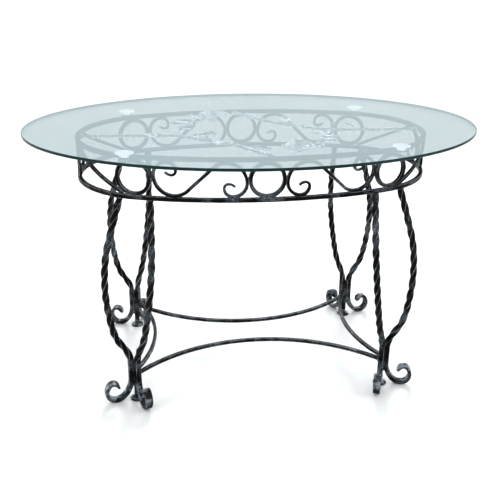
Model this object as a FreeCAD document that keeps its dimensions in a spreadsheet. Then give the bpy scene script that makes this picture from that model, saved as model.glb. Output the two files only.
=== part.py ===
import FreeCAD, Part
import math
import os

# Oval glass-topped dining table on a forged iron frame.
# Millimetres, +Z up, origin on the floor under the middle of the top, +X along the table's length.
# The front of the table is its -Y side. Every length is a cell of the sheet below.

os.makedirs("parts", exist_ok=True)
doc = FreeCAD.newDocument("table")
Vector = FreeCAD.Vector
Rotation = FreeCAD.Rotation
Placement = FreeCAD.Placement
UP = Vector(0, 0, 1)

# Driving sizes: alias, value, meaning
SIZES = [
    ("table_height", 750, "floor to the top of the glass"),
    ("glass_length", 1300, "long axis of the oval glass"),
    ("glass_width", 900, "short axis of the oval glass"),
    ("glass_thickness", 8, "float glass"),
    ("pad_height", 12, "glass underside above the upper rail"),
    ("pad_radius", 25, "suction disc under the glass"),
    ("pad_neck_radius", 12, "foot of the pad on its tab"),
    ("pad_peg_radius", 4, "peg through the tab"),
    ("peg_end", 2.5, "peg below the tab"),
    ("pad_reach", 24, "pad axis outside the rail's centre line"),
    ("tab_thickness", 4, "welded tab that carries a pad"),
    ("tab_radius", 14, "round end of the tab"),
    ("peg_gap", 0.1, "clearance of the peg in its hole"),
    ("rail_half_length", 500, "rail centre line, middle to end"),
    ("rail_half_width", 283.5, "rail centre line, middle to side"),
    ("rail_end_flat", 39.5, "rail's half width less the bend radius of its ends"),
    ("rail_bar", 10, "square bar of both rails"),
    ("apron_gap", 99, "clear height between the rails"),
    ("weld_gap", 0.1, "gap that a weld run fills"),
    ("ring_bar", 9, "ring bar, seen from the side"),
    ("ring_depth", 9, "ring bar, through the apron"),
    ("scroll_bar", 8, "scroll bar, seen from the side"),
    ("scroll_depth", 8, "scroll bar, through the apron"),
    ("leg_bar", 13, "square bar of the legs"),
    ("leg_inset_x", 136, "levelling foot's axis inside the rail's end"),
    ("leg_inset_y", 53.5, "levelling foot's axis inside the rail's side"),
    ("leg_top_spread", 43, "bar tops either side of the corner ring"),
    ("leg_join_height", 130, "height where a leg's two bars meet"),
    ("end_bar_bulge", 57, "bow of the bar that faces the table's end"),
    ("side_bar_bulge", 45, "bow of the bar that faces the table's side"),
    ("foot_scroll_height", 57, "foot scroll, bottom to top centre line"),
    ("foot_scroll_width", 25, "flared end of the foot scroll"),
    ("foot_scroll_tip", 5, "thinnest part of the foot scroll"),
    ("foot_clearance", 4, "foot scroll above the floor"),
    ("sleeve_radius", 8, "outside of the threaded sleeve"),
    ("sleeve_top", 128, "top of the sleeve above the floor"),
    ("stem_radius", 5.5, "stem of the levelling foot"),
    ("stem_fit", 0.05, "radial clearance of the stem in its sleeve"),
    ("stem_length", 80, "stem inside the sleeve"),
    ("foot_disc_radius", 20, "disc of the levelling foot"),
    ("foot_disc", 5, "thickness of the disc"),
    ("foot_nut_radius", 8, "hexagon nut between the disc and the sleeve, across corners"),
    ("foot_nut", 15, "height of the nut"),
    ("foot_seat", 0.1, "gap between the nut and the sleeve"),
    ("stretcher_bar", 8, "square bar of the stretchers"),
    ("stretcher_height", 80, "centre line of the long stretchers"),
    ("stretcher_step", 14, "short stretchers above the long ones"),
    ("long_bow", 165, "inward bow of the long stretchers"),
    ("short_bow", 60, "inward bow of the short stretchers"),
    ("branch_bar", 7, "bar of the ornamental branch"),
    ("twig_bar", 5, "bar of the branch's twig"),
    ("rose_radius", 38, "open rose"),
    ("rose_height", 18, "rose, base to petal tips"),
    ("rose_core", 9, "square stub that the petals are welded to"),
    ("petal", 1.6, "petal and leaf plate"),
    ("leaf_length", 52, "leaf, base to tip"),
    ("leaf_width", 22, "widest part of a leaf"),
    ("leaf_rise", 6, "tip of a leaf above its base"),
    ("facet_sag", 0.8, "largest distance from a forged bar's facets to its true curve"),
]

# Sizes that follow from the ones above: alias, formula, meaning
FORMULAS = [
    ("rail_end_radius", "=rail_half_width - rail_end_flat", "bend of the rail's ends"),
    ("rail_side_radius", "=((rail_half_length - rail_end_radius)^2 + rail_half_width^2"
     " - rail_end_radius^2) / (2 * rail_end_flat)", "bend of the rail's long sides"),
    ("leg_axis_x", "=rail_half_length - leg_inset_x", "levelling foot's axis from the middle"),
    ("leg_axis_y", "=rail_half_width - leg_inset_y", "levelling foot's axis from the middle"),
]

sheet = doc.addObject("Spreadsheet::Sheet", "sheet")
sheet.Label = "sheet"
for row, (alias, value, meaning) in enumerate(SIZES + FORMULAS, 1):
    sheet.set("A%d" % row, alias)
    sheet.set("B%d" % row, str(value))
    sheet.setAlias("B%d" % row, alias)
    sheet.set("C%d" % row, meaning)
doc.recompute()
size = {alias: float(sheet.get(alias)) for alias, value, meaning in SIZES + FORMULAS}

# Angles in degrees and shares, which don't change with the table's size
CORNER_RING_ANGLE = 68.6
PAD_ANGLE = 66
LEG_FACING = 63
LEG_HALF_SPLAY = 50
TWIST = 13 * 90
TWIST_STEPS = 30
LARGEST_BEND_STEP = 30
SMALL_ROUND_SIDES = 12
ROUND_SIDES = 24
# Bow of a leg bar at even steps from the rail down to the join
leg_bow_shares = (0, 0.456, 0.851, 1, 0.935, 0.665, 0)
# Foot scroll down from the straight bar: radius as a share of the scroll's height, turn in degrees
foot_arc_shares = ((1.32, 45), (0.61, 45), (0.456, 90), (0.632, 40), (0.246, 80), (0.316, 60))
# Apron scroll as shares of half the apron's height: half a side scroll's reach, an end scroll's
# reach, its shoulder, then its large bend and curl
SIDE_SCROLL_SHARE = 2.69
END_SCROLL_SHARE = 5.66
SHOULDER_SHARE = 1.09
scroll_arc_shares = ((1.2, 90), (0.8, 90), (0.51, 90), (0.25, 90), (0.48, 50))
# Corners of the branch and the twig as shares of the rail's half length and half width
branch_corner_shares = ((-1, 0), (-0.44, -0.045), (-0.14, -0.46), (0.056, -1))
twig_corner_shares = ((-0.33, 0.46), (-0.20, 0.71))
branch_bend_shares = (0.30, 0.40)
twig_bend_shares = (0.045, 0.16)
TWIG_START_SHARE = 0.42
# Leaves: share of the way along the rod, turn from the rod's heading in degrees
branch_leaf_shares = ((0.30, -55), (0.52, 50), (0.64, -50), (0.84, 35))
twig_leaf_shares = ((0.18, -42), (0.44, 105), (0.58, 95), (0.78, -75), (0.80, 88))
# Leaf and petal from base to tip: reach, rise, width
leaf_shares = ((0, 0, 0.25), (0.3, 0.05, 0.85), (0.6, 0.3, 1), (0.85, 0.7, 0.6), (1, 1, 0.08))
petal_shares = ((0.1, 0.1, 0.3), (0.7, 0.3, 0.9), (1, 0.95, 0.55))
# Rings of petals: reach, rise, number, turn in degrees
rose_ring_shares = ((1, 0.6, 5, 36), (0.6, 1, 3, 0))


def bind(target, prop, expression):
    target.setExpression(prop, expression.replace("$", "sheet."))


def make(kind, label):
    made = doc.addObject(kind, label)
    made.Label = label
    return made


def cylinder(label, radius, height, base, sweep=360, turn=0):
    """Upright cylinder, or a sector of one, with its radius and height tied to the sheet."""
    made = make("Part::Cylinder", label)
    bind(made, "Radius", radius)
    bind(made, "Height", height)
    made.Angle = sweep
    made.Placement = Placement(base, Rotation(UP, turn))
    return made


def prism(label, sides, radius, height, base):
    """Upright bar with flat sides, tied to the sheet."""
    made = make("Part::Prism", label)
    made.Polygon = sides
    bind(made, "Circumradius", radius)
    bind(made, "Height", height)
    made.Placement = Placement(base, Rotation())
    return made


def cut(label, base, tool):
    made = make("Part::Cut", label)
    made.Base = base
    made.Tool = tool
    return made


def fuse(label, shapes):
    made = make("Part::MultiFuse", label)
    made.Shapes = shapes
    made.Refine = True
    return made


def group(label, links):
    made = make("Part::Compound", label)
    made.Links = links
    return made


def solid_feature(label, shape):
    made = make("Part::Feature", label)
    made.Shape = shape
    return made


def arc_bar(label, radius, bar, centre, bottom, start, sweep):
    """Square bar bent flat to an arc: the sector between two cylinders."""
    base = Vector(centre.x, centre.y, bottom)
    outer = cylinder(label + "_outer", "%s + $%s / 2" % (radius, bar), "$" + bar, base, sweep, start)
    inner = cylinder(label + "_inner", "%s - $%s / 2" % (radius, bar), "$" + bar, base, sweep, start)
    return cut(label, outer, inner)


# Levels, and the four-arc oval that both rails follow
glass_bottom = size["table_height"] - size["glass_thickness"]
upper_rail_top = glass_bottom - size["pad_height"]
upper_rail_bottom = upper_rail_top - size["rail_bar"]
lower_rail_top = upper_rail_bottom - size["apron_gap"]
lower_rail_bottom = lower_rail_top - size["rail_bar"]
apron_middle = (upper_rail_bottom + lower_rail_top) / 2
branch_level = (upper_rail_top + upper_rail_bottom) / 2

end_radius = size["rail_end_radius"]
end_centre = size["rail_half_length"] - end_radius
side_radius = size["rail_side_radius"]
side_centre = side_radius - size["rail_half_width"]
blend_angle = math.degrees(math.atan2(side_centre, end_centre))


def level_way(angle):
    """Level unit vector at an angle from +X."""
    return Vector(math.cos(math.radians(angle)), math.sin(math.radians(angle)), 0)


def oval_distance(angle):
    """Distance along the oval from the side's middle to an angle on the end arc."""
    return side_radius * math.radians(90 - blend_angle) + end_radius * math.radians(blend_angle - angle)


def oval_point(distance):
    """Point and outward normal of the oval, by the distance from the side's middle towards the end."""
    blend_distance = oval_distance(blend_angle)
    if distance < blend_distance:
        normal = level_way(90 - math.degrees(distance / side_radius))
        return normal * side_radius - Vector(0, side_centre, 0), normal
    normal = level_way(blend_angle - math.degrees((distance - blend_distance) / end_radius))
    return normal * end_radius + Vector(end_centre, 0, 0), normal


def mirrored(point, x_sign, y_sign):
    return Vector(point.x * x_sign, point.y * y_sign, point.z)


corner_ring_distance = oval_distance(CORNER_RING_ANGLE)
ring_radius = size["apron_gap"] / 2 - size["weld_gap"]
QUARTERS = (("front_left", -1, -1), ("front_right", 1, -1), ("back_left", -1, 1), ("back_right", 1, 1))


# Forged bars: rows of four corners along the bar, joined by plane facets
def corners(centre, across, along, width, thickness, turn=0):
    """Corners of a bar's section, turned about its centre by an angle in degrees."""
    angle = math.radians(turn)
    first = across * math.cos(angle) + along * math.sin(angle)
    second = along * math.cos(angle) - across * math.sin(angle)
    return [centre + first * (a * width / 2) + second * (b * thickness / 2)
            for a, b in ((1, 1), (-1, 1), (-1, -1), (1, -1))]


def skin(rows, closed=False):
    """Solid through rows of corners, with flat ends or closed on itself."""
    faces = []
    following = rows[1:] + rows[:1] if closed else rows[1:]
    for low, high in zip(rows, following):
        for k in range(4):
            j = (k + 1) % 4
            faces.append(Part.Face(Part.makePolygon([low[k], low[j], high[j], low[k]])))
            faces.append(Part.Face(Part.makePolygon([low[k], high[j], high[k], low[k]])))
    if not closed:
        faces += [Part.Face(Part.makePolygon(end + end[:1])) for end in (rows[0], rows[-1])]
    solid = Part.Solid(Part.Shell(faces))
    if solid.Volume < 0:
        solid.reverse()
    return solid


def plate(points, across, widths, thickness):
    """Thin plate that follows points in a plane square to its width."""
    rows = []
    for i, (point, width) in enumerate(zip(points, widths)):
        tangent = (points[min(i + 1, len(points) - 1)] - points[max(i - 1, 0)]).normalize()
        rows.append(corners(point, across, across.cross(tangent), width, thickness))
    return skin(rows)


def bend_steps(radius, turn):
    """Number of facets that keeps an arc within the facet sag."""
    step = math.degrees(2 * math.acos(1 - size["facet_sag"] / radius))
    return math.ceil(abs(turn) / min(step, LARGEST_BEND_STEP))


def bent(start, heading, chain, run_step):
    """Points and headings of a bar bent in a plane: (length, 0) is a run, (radius, turn) an arc."""
    x, y = start
    points = [(x, y, heading)]
    for length, turn in chain:
        count = bend_steps(length, turn) if turn else math.ceil(length / run_step)
        chord = 2 * length * math.sin(math.radians(abs(turn) / count / 2)) if turn else length / count
        for unused in range(count):
            way = level_way(heading + turn / count / 2)
            x += chord * way.x
            y += chord * way.y
            heading += turn / count
            points.append((x, y, heading))
    return points


def build_glass():
    outline = make("Part::Ellipse", "glass_outline")
    bind(outline, "MajorRadius", "$glass_length / 2")
    bind(outline, "MinorRadius", "$glass_width / 2")
    outline.Placement = Placement(Vector(0, 0, glass_bottom), Rotation())
    pane = make("Part::Extrusion", "glass_top")
    pane.Base = outline
    pane.Dir = UP
    pane.Solid = True
    bind(pane, "LengthFwd", "$glass_thickness")
    return pane


def build_pad(name, x_sign, y_sign):
    """Clear suction pad pegged into a tab that is welded to the outside of the upper rail."""
    point, normal = oval_point(oval_distance(PAD_ANGLE))
    out = mirrored(normal, x_sign, y_sign)
    axis = mirrored(point, x_sign, y_sign) + out * size["pad_reach"]
    turn = math.degrees(math.atan2(out.y, out.x))
    tab_bottom = axis + Vector(0, 0, upper_rail_top - size["tab_thickness"])
    reach = size["pad_reach"] - size["rail_bar"] / 2 - size["weld_gap"]

    neck = make("Part::Box", "tab_neck_" + name)
    bind(neck, "Length", "$pad_reach - $rail_bar / 2 - $weld_gap")
    bind(neck, "Width", "2 * $tab_radius")
    bind(neck, "Height", "$tab_thickness")
    corner = Vector(-reach, -size["tab_radius"], 0)
    neck.Placement = Placement(tab_bottom, Rotation(UP, turn)).multiply(Placement(corner, Rotation()))
    disc = cylinder("tab_disc_" + name, "$tab_radius", "$tab_thickness", tab_bottom)
    hole = prism("tab_hole_" + name, SMALL_ROUND_SIDES, "$pad_peg_radius + $peg_gap", "$tab_thickness",
                 tab_bottom)
    tab = cut("pad_tab_" + name, fuse("tab_blank_" + name, [neck, disc]), hole)

    cup = make("Part::Cone", "pad_cup_" + name)
    bind(cup, "Radius1", "$pad_neck_radius")
    bind(cup, "Radius2", "$pad_radius")
    bind(cup, "Height", "$pad_height")
    cup.Placement = Placement(axis + Vector(0, 0, upper_rail_top), Rotation())
    peg_bottom = tab_bottom - Vector(0, 0, size["peg_end"])
    peg = prism("pad_peg_" + name, SMALL_ROUND_SIDES, "$pad_peg_radius", "$tab_thickness + $peg_end",
                peg_bottom)
    return tab, fuse("pad_" + name, [cup, peg])


def build_rail(label, bottom):
    """Closed oval of square bar, bent in two end arcs and two long side arcs."""
    arcs = []
    end_sweep = 2 * blend_angle
    for name, sign in (("right", 1), ("left", -1)):
        start = 90 - 90 * sign - blend_angle
        centre = Vector(sign * end_centre, 0, 0)
        arcs.append(arc_bar("%s_%s" % (label, name), "$rail_end_radius", "rail_bar", centre, bottom,
                            start, end_sweep))
    for name, sign in (("back", 1), ("front", -1)):
        start = 90 - 90 * sign + blend_angle
        centre = Vector(0, -sign * side_centre, 0)
        arcs.append(arc_bar("%s_%s" % (label, name), "$rail_side_radius", "rail_bar", centre, bottom,
                            start, 180 - end_sweep))
    return fuse(label, arcs)


def build_ring(label, distance, x_sign, y_sign):
    """Flat ring of square bar, upright in the apron, touching both rails."""
    point, normal = oval_point(distance)
    centre = mirrored(point, x_sign, y_sign) + Vector(0, 0, apron_middle)
    outward = mirrored(normal, x_sign, y_sign)
    tangent = UP.cross(outward)
    # The facets meet at the four points where the ring is welded to the rails and the scrolls
    quarter = bend_steps(ring_radius, 90)
    rows = []
    for i in range(4 * quarter):
        angle = math.radians(90 * i / quarter)
        way = tangent * math.cos(angle) + UP * math.sin(angle)
        middle = centre + way * (ring_radius - size["ring_bar"] / 2)
        rows.append(corners(middle, way, outward, size["ring_bar"], size["ring_depth"]))
    return solid_feature(label, skin(rows, closed=True))


def scroll_points(reach_share, rise_share, reach, run_step):
    """Apron scroll that climbs from its start and then curls inwards, stretched lengthwise to its reach."""
    half_height = (size["apron_gap"] - size["scroll_bar"]) / 2 - size["weld_gap"]
    arcs = [(share * half_height, -turn) for share, turn in scroll_arc_shares]
    shoulder = SHOULDER_SHARE * half_height
    centre_x = reach_share * half_height - arcs[0][0]
    centre_y = rise_share * half_height - shoulder
    distance = math.hypot(centre_x, centre_y)
    slope = math.degrees(math.atan2(centre_y, centre_x) + math.asin(shoulder / distance))
    run = math.sqrt(distance**2 - shoulder**2)
    stretch = reach / (reach_share * half_height)
    points = []
    for x, y, heading in bent((0, 0), slope, [(run, 0), (shoulder, -slope)] + arcs, run_step):
        way = level_way(heading)
        points.append((x * stretch, y, math.degrees(math.atan2(way.y, way.x * stretch))))
    return points


def scroll_rows(points, origin, direction, x_sign, y_sign):
    """Section rows of a scroll that is drawn flat and then follows the oval between the rails."""
    rows = []
    for along, height, heading in points:
        point, normal = oval_point(origin + direction * along)
        tangent = normal.cross(UP) * direction
        angle = math.radians(heading)
        across = UP * math.cos(angle) - tangent * math.sin(angle)
        centre = point + Vector(0, 0, apron_middle + height)
        rows.append([mirrored(corner, x_sign, y_sign) for corner in
                     corners(centre, across, normal, size["scroll_bar"], size["scroll_depth"])])
    return rows


def build_side_scroll(label, x_sign, y_sign):
    """Double scroll between two rings, alike when turned end for end."""
    half_length = corner_ring_distance / 2 - ring_radius - size["weld_gap"]
    run_step = math.sqrt(8 * size["facet_sag"] * side_radius)
    forward = scroll_points(SIDE_SCROLL_SHARE, 1, half_length - size["scroll_bar"] / 2, run_step)
    backward = [(-x, -y, heading) for x, y, heading in forward[:0:-1]]
    rows = scroll_rows(backward + forward, corner_ring_distance / 2, -1, x_sign, y_sign)
    return solid_feature(label, skin(rows))


def build_end_scroll(label, x_sign, y_sign):
    """Scroll that climbs from the foot of the corner ring and curls down at the end's middle."""
    half_bar = size["scroll_bar"] / 2
    half_height = size["apron_gap"] / 2 - half_bar - size["weld_gap"]
    # The tail starts where the bar's upper corner clears the ring
    clear = ring_radius + size["weld_gap"]
    tail = math.sqrt(clear**2 - (half_height - half_bar)**2) + half_bar
    far_side = oval_distance(0) - corner_ring_distance - half_bar - size["weld_gap"]
    run_step = math.sqrt(8 * size["facet_sag"] * end_radius)
    points = [(tail + along, height - half_height, heading) for along, height, heading in
              scroll_points(END_SCROLL_SHARE, 2, far_side - tail, run_step)]
    return solid_feature(label, skin(scroll_rows(points, corner_ring_distance, 1, x_sign, y_sign)))


def foot_drop():
    """Depth from the start of the foot scroll's bends to its lowest point."""
    drop = 0
    heading = -90
    for share, turn in foot_arc_shares:
        if heading < 0:
            drop += share * size["foot_scroll_height"] * (level_way(heading + turn).x - level_way(heading).x)
        heading += turn
    return drop


def build_leg_bar(label, top_distance, angle, bulge, x_sign, y_sign):
    """Twisted bar that bows from the lower rail to the sleeve and ends in a flared foot scroll."""
    out = level_way(angle)
    beside = size["sleeve_radius"] + size["leg_bar"] / 2 + size["weld_gap"]
    axis = Vector(size["leg_axis_x"], size["leg_axis_y"], 0)
    top = oval_point(top_distance)[0] + Vector(0, 0, lower_rail_bottom - size["weld_gap"])
    join = axis + out * beside + Vector(0, 0, size["leg_join_height"])
    spans = len(leg_bow_shares) - 1
    points = [mirrored(top + (join - top) * (i / spans) + out * (bulge * share), x_sign, y_sign)
              for i, share in enumerate(leg_bow_shares)]
    out = mirrored(out, x_sign, y_sign)
    axis = mirrored(axis, x_sign, y_sign)
    side = UP.cross(out)
    curve = Part.BSplineCurve()
    curve.interpolate(Points=points, InitialTangent=points[1] - points[0], FinalTangent=UP * -1)

    rows = []
    for i, place in enumerate(curve.toShape().discretize(Number=TWIST_STEPS + 1)):
        tangent = curve.tangent(curve.parameter(place))[0] if 0 < i < TWIST_STEPS else UP * -1
        along = tangent.cross(side).normalize()
        across = along.cross(tangent).normalize()
        rows.append(corners(place, across, along, size["leg_bar"], size["leg_bar"],
                            TWIST * (i / TWIST_STEPS - 1)))

    # Below the join the bar runs straight down beside the sleeve and then turns out and up
    lowest = size["foot_clearance"] + (size["leg_bar"] + size["foot_scroll_tip"]) / 4
    arcs = [(share * size["foot_scroll_height"], turn) for share, turn in foot_arc_shares]
    run = size["leg_join_height"] - foot_drop() - lowest
    samples = bent((beside, size["leg_join_height"]), -90, [(run, 0)] + arcs, run)[1:]
    for i, (reach, level, heading) in enumerate(samples):
        share = i / (len(samples) - 1)
        tangent = out * level_way(heading).x + UP * level_way(heading).y
        width = size["leg_bar"] + (size["foot_scroll_width"] - size["leg_bar"]) * share
        thickness = size["leg_bar"] + (size["foot_scroll_tip"] - size["leg_bar"]) * share
        rows.append(corners(axis + out * reach + UP * level, side, tangent.cross(side), width, thickness))
    return solid_feature(label, skin(rows))


def build_leveller(name, x_sign, y_sign):
    """Threaded sleeve between a leg's bars, and the levelling foot that screws into it."""
    axis = mirrored(Vector(size["leg_axis_x"], size["leg_axis_y"], 0), x_sign, y_sign)
    base = axis + Vector(0, 0, size["foot_disc"] + size["foot_nut"] + size["foot_seat"])
    length = "$sleeve_top - $foot_disc - $foot_nut - $foot_seat"
    sleeve = cut("sleeve_" + name,
                 prism("sleeve_bar_" + name, ROUND_SIDES, "$sleeve_radius", length, base),
                 cylinder("sleeve_bore_" + name, "$stem_radius + $stem_fit", length, base))
    disc = prism("foot_disc_" + name, ROUND_SIDES, "$foot_disc_radius", "$foot_disc", axis)
    nut = prism("foot_nut_" + name, 6, "$foot_nut_radius", "$foot_disc + $foot_nut", axis)
    stem = cylinder("foot_stem_" + name, "$stem_radius",
                    "$foot_disc + $foot_nut + $foot_seat + $stem_length", axis)
    return sleeve, fuse("levelling_foot_" + name, [disc, nut, stem])


def build_stretcher(label, half_span, edge, bow, level, facing):
    """Square bar between two sleeves, bowed towards the table's middle."""
    bar = size["stretcher_bar"]
    radius = (half_span**2 + bow**2) / (2 * bow)
    end_gap = size["sleeve_radius"] + size["weld_gap"]
    half_sweep = math.degrees(math.asin(half_span / radius) - end_gap / radius)
    centre = level_way(facing) * (edge - bow + radius) + Vector(0, 0, level)
    count = bend_steps(radius, 2 * half_sweep)
    rows = []
    for i in range(count + 1):
        way = level_way(facing + half_sweep * (2 * i / count - 1))
        rows.append(corners(centre - way * radius, way, UP, bar, bar))
    return solid_feature(label, skin(rows))


def rounded(corner_points, radii):
    """Start heading and chain of straight runs joined by tangent arcs."""
    ways = [b - a for a, b in zip(corner_points, corner_points[1:])]
    headings = [math.degrees(math.atan2(way.y, way.x)) for way in ways]
    turns = [after - before for before, after in zip(headings, headings[1:])]
    cuts = [0] + [radius * math.tan(math.radians(abs(turn) / 2)) for radius, turn in zip(radii, turns)] + [0]
    chain = []
    for i, way in enumerate(ways):
        chain.append((way.Length - cuts[i] - cuts[i + 1], 0))
        if i < len(turns):
            chain.append((radii[i], turns[i]))
    return headings[0], chain


def rod_solid(points, bar):
    rows = []
    for x, y, heading in points:
        across = level_way(heading + 90)
        rows.append(corners(Vector(x, y, branch_level), across, UP, bar, bar))
    return skin(rows)


def along_rod(points, share):
    """Place and heading at a share of a rod's length."""
    spans = [math.hypot(b[0] - a[0], b[1] - a[1]) for a, b in zip(points, points[1:])]
    left = share * sum(spans)
    for (x, y, heading), after, span in zip(points, points[1:], spans):
        if left <= span:
            part = left / span
            return Vector(x + (after[0] - x) * part, y + (after[1] - y) * part, branch_level), heading
        left -= span
    return Vector(x, y, branch_level), heading


def leaf_solid(base, heading):
    along = level_way(heading)
    points = [base + along * (reach * size["leaf_length"]) + UP * (rise * size["leaf_rise"])
              for reach, rise, width in leaf_shares]
    widths = [width * size["leaf_width"] for reach, rise, width in leaf_shares]
    return plate(points, level_way(heading + 90), widths, size["petal"])


def rose_solid(end, heading):
    """Two rings of petals round a square stub that stands at the twig's end."""
    base = end + level_way(heading) * (size["rose_core"] / 2 + size["weld_gap"])
    base -= UP * (size["branch_bar"] / 2)
    # The petals start clear above the twig
    lift = (size["branch_bar"] + size["twig_bar"]) / 2 + size["petal"]
    open_height = size["rose_height"] - lift
    stub = [corners(base + UP * level, level_way(heading), level_way(heading + 90),
                    size["rose_core"], size["rose_core"]) for level in (0, lift + open_height / 2)]
    petals = []
    for reach_share, rise_share, number, turn in rose_ring_shares:
        reach = reach_share * size["rose_radius"]
        rise = rise_share * open_height
        for k in range(number):
            angle = heading + turn + 360 * k / number
            points = [base + level_way(angle) * (out * reach) + UP * (lift + up * rise)
                      for out, up, width in petal_shares]
            widths = [width * reach for out, up, width in petal_shares]
            petals.append(plate(points, level_way(angle + 90), widths, size["petal"]))
    return skin(stub).multiFuse(petals).removeSplitter()


def build_branch(name, sign):
    """Branch inside the upper rail with its twig, rose and leaves; the other side's is turned half round."""
    half = Vector(size["rail_half_length"], size["rail_half_width"], 0)
    route, twig_end = [[Vector(x * half.x * sign, y * half.y * sign, branch_level) for x, y in shares]
                       for shares in (branch_corner_shares, twig_corner_shares)]
    # Both ends stop at the rail's inner face
    inside = size["rail_bar"] / 2 + size["weld_gap"]
    route[0].x = (inside - half.x) * sign
    reach = side_radius - inside - size["branch_bar"]
    route[-1].y = (side_centre - math.sqrt(reach**2 - route[-1].x**2)) * sign
    radii = [share * half.x for share in branch_bend_shares]
    heading, chain = rounded(route, radii)
    long_step = size["rail_half_length"]
    branch = bent((route[0].x, route[0].y), heading, chain, long_step)

    start, way = along_rod(branch, TWIG_START_SHARE)
    square = level_way(way + 90)
    start += square * (size["branch_bar"] / 2 + size["weld_gap"])
    first_bend = start + square * (twig_bend_shares[0] * half.x)
    heading, chain = rounded([start, first_bend] + twig_end, [share * half.x for share in twig_bend_shares])
    twig = bent((start.x, start.y), heading, chain, long_step)

    leaves = []
    for rod, bar, shares in ((branch, size["branch_bar"], branch_leaf_shares),
                             (twig, size["twig_bar"], twig_leaf_shares)):
        lift = UP * (bar / 2 + size["weld_gap"] + size["petal"] / 2)
        for share, turn in shares:
            place, way = along_rod(rod, share)
            leaves.append(leaf_solid(place + lift, way + turn))
    end_x, end_y, heading = twig[-1]
    return [
        solid_feature("branch_" + name, rod_solid(branch, size["branch_bar"])),
        solid_feature("twig_" + name, rod_solid(twig, size["twig_bar"])),
        solid_feature("rose_" + name, rose_solid(Vector(end_x, end_y, branch_level), heading)),
        solid_feature("leaves_" + name, Part.makeCompound(leaves)),
    ]


kept = [build_glass()]
kept.append(build_rail("upper_rail", upper_rail_bottom))
kept.append(build_rail("lower_rail", lower_rail_bottom))
kept.append(build_ring("ring_front", 0, 1, -1))
kept.append(build_ring("ring_back", 0, 1, 1))

tabs_and_pads = []
for name, x_sign, y_sign in QUARTERS:
    tabs_and_pads.append(build_pad(name, x_sign, y_sign))
    kept.append(build_ring("ring_" + name, corner_ring_distance, x_sign, y_sign))
    kept.append(build_side_scroll("side_scroll_" + name, x_sign, y_sign))
    kept.append(build_end_scroll("end_scroll_" + name, x_sign, y_sign))
    kept.append(build_leg_bar("leg_end_bar_" + name, corner_ring_distance + size["leg_top_spread"],
                              LEG_FACING - LEG_HALF_SPLAY, size["end_bar_bulge"], x_sign, y_sign))
    kept.append(build_leg_bar("leg_side_bar_" + name, corner_ring_distance - size["leg_top_spread"],
                              LEG_FACING + LEG_HALF_SPLAY, size["side_bar_bulge"], x_sign, y_sign))
    kept.extend(build_leveller(name, x_sign, y_sign))
kept.append(group("pad_tabs", [tab for tab, pad in tabs_and_pads]))
kept.append(group("glass_pads", [pad for tab, pad in tabs_and_pads]))

short_level = size["stretcher_height"] + size["stretcher_step"]
for name, facing in (("front", 270), ("back", 90)):
    kept.append(build_stretcher("stretcher_" + name, size["leg_axis_x"], size["leg_axis_y"],
                                size["long_bow"], size["stretcher_height"], facing))
for name, facing in (("right", 0), ("left", 180)):
    kept.append(build_stretcher("stretcher_" + name, size["leg_axis_y"], size["leg_axis_x"],
                                size["short_bow"], short_level, facing))
for name, sign in (("left", 1), ("right", -1)):
    kept.extend(build_branch(name, sign))

doc.recompute()
for item in doc.Objects:
    if "Invalid" in item.State or "Error" in item.State:
        raise RuntimeError("%s did not build: %s" % (item.Label, item.State))
for item in kept:
    if item.Shape.isNull() or not item.Shape.isValid():
        raise RuntimeError("%s has no valid shape" % item.Label)
for item in kept:
    item.Shape.exportStep("parts/%s.step" % item.Label)
print("%d nodes" % len(kept))
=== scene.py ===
import functools
from math import asin, atan2, ceil, cos, exp, hypot, pi, radians, sin, sqrt, tan, tau

import bmesh
import bpy
import numpy as np
from bpy.props import FloatProperty, FloatVectorProperty, IntProperty, PointerProperty
from mathutils import Matrix, Vector


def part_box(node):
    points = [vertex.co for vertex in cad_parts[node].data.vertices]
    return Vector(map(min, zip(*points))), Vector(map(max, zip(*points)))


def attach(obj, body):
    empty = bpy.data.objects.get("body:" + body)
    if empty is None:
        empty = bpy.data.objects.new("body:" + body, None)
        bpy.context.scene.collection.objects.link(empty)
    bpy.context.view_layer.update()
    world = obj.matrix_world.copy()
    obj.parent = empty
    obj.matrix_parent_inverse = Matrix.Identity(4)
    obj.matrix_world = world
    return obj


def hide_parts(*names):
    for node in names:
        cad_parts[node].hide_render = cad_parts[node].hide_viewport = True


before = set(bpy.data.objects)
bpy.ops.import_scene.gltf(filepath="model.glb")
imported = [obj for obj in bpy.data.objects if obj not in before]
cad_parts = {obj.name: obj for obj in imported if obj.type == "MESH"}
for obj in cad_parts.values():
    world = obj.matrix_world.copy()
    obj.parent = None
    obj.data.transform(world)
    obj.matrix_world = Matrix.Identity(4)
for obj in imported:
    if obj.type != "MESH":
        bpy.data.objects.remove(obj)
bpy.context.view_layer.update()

# Oval glass-topped table on a forged iron frame: smooth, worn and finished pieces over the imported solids.
# Metres, +Z up, the table's front towards -Y.
bl_info = {
    "name": "Forged iron glass table",
    "version": (1, 0, 0),
    "blender": (4, 5, 0),
    "location": "View3D > Sidebar > Iron table",
    "description": "Dresses an oval glass-topped table with forged bars, scrolls, roses and clear glass",
    "category": "Object",
}

UP = Vector((0, 0, 1))
QUARTERS = {"front_left": (-1, -1), "front_right": (1, -1), "back_left": (-1, 1), "back_right": (1, 1)}
# Radius at which a turned piece's faces stop short of its axis
PINHOLE = 0.0002
# Wear of turned pieces and of the tabs, the same all over
TURNED_WEAR, PLATE_WEAR = 0.3, 0.35
# Share of the hammered spread on each kind of bar; the legs have all of it
RAIL_SPREAD, SCROLL_SPREAD, STRETCHER_SPREAD = 0.75, 0.8, 1.15


# Sizes and colours that a user would change
def length(name, description, default, smallest=0.0):
    return FloatProperty(name=name, description=description, default=default, min=smallest, unit="LENGTH",
                         precision=4)


def degrees(name, description, default):
    return FloatProperty(name=name, description=description, default=radians(default),
                         subtype="ANGLE")


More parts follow.
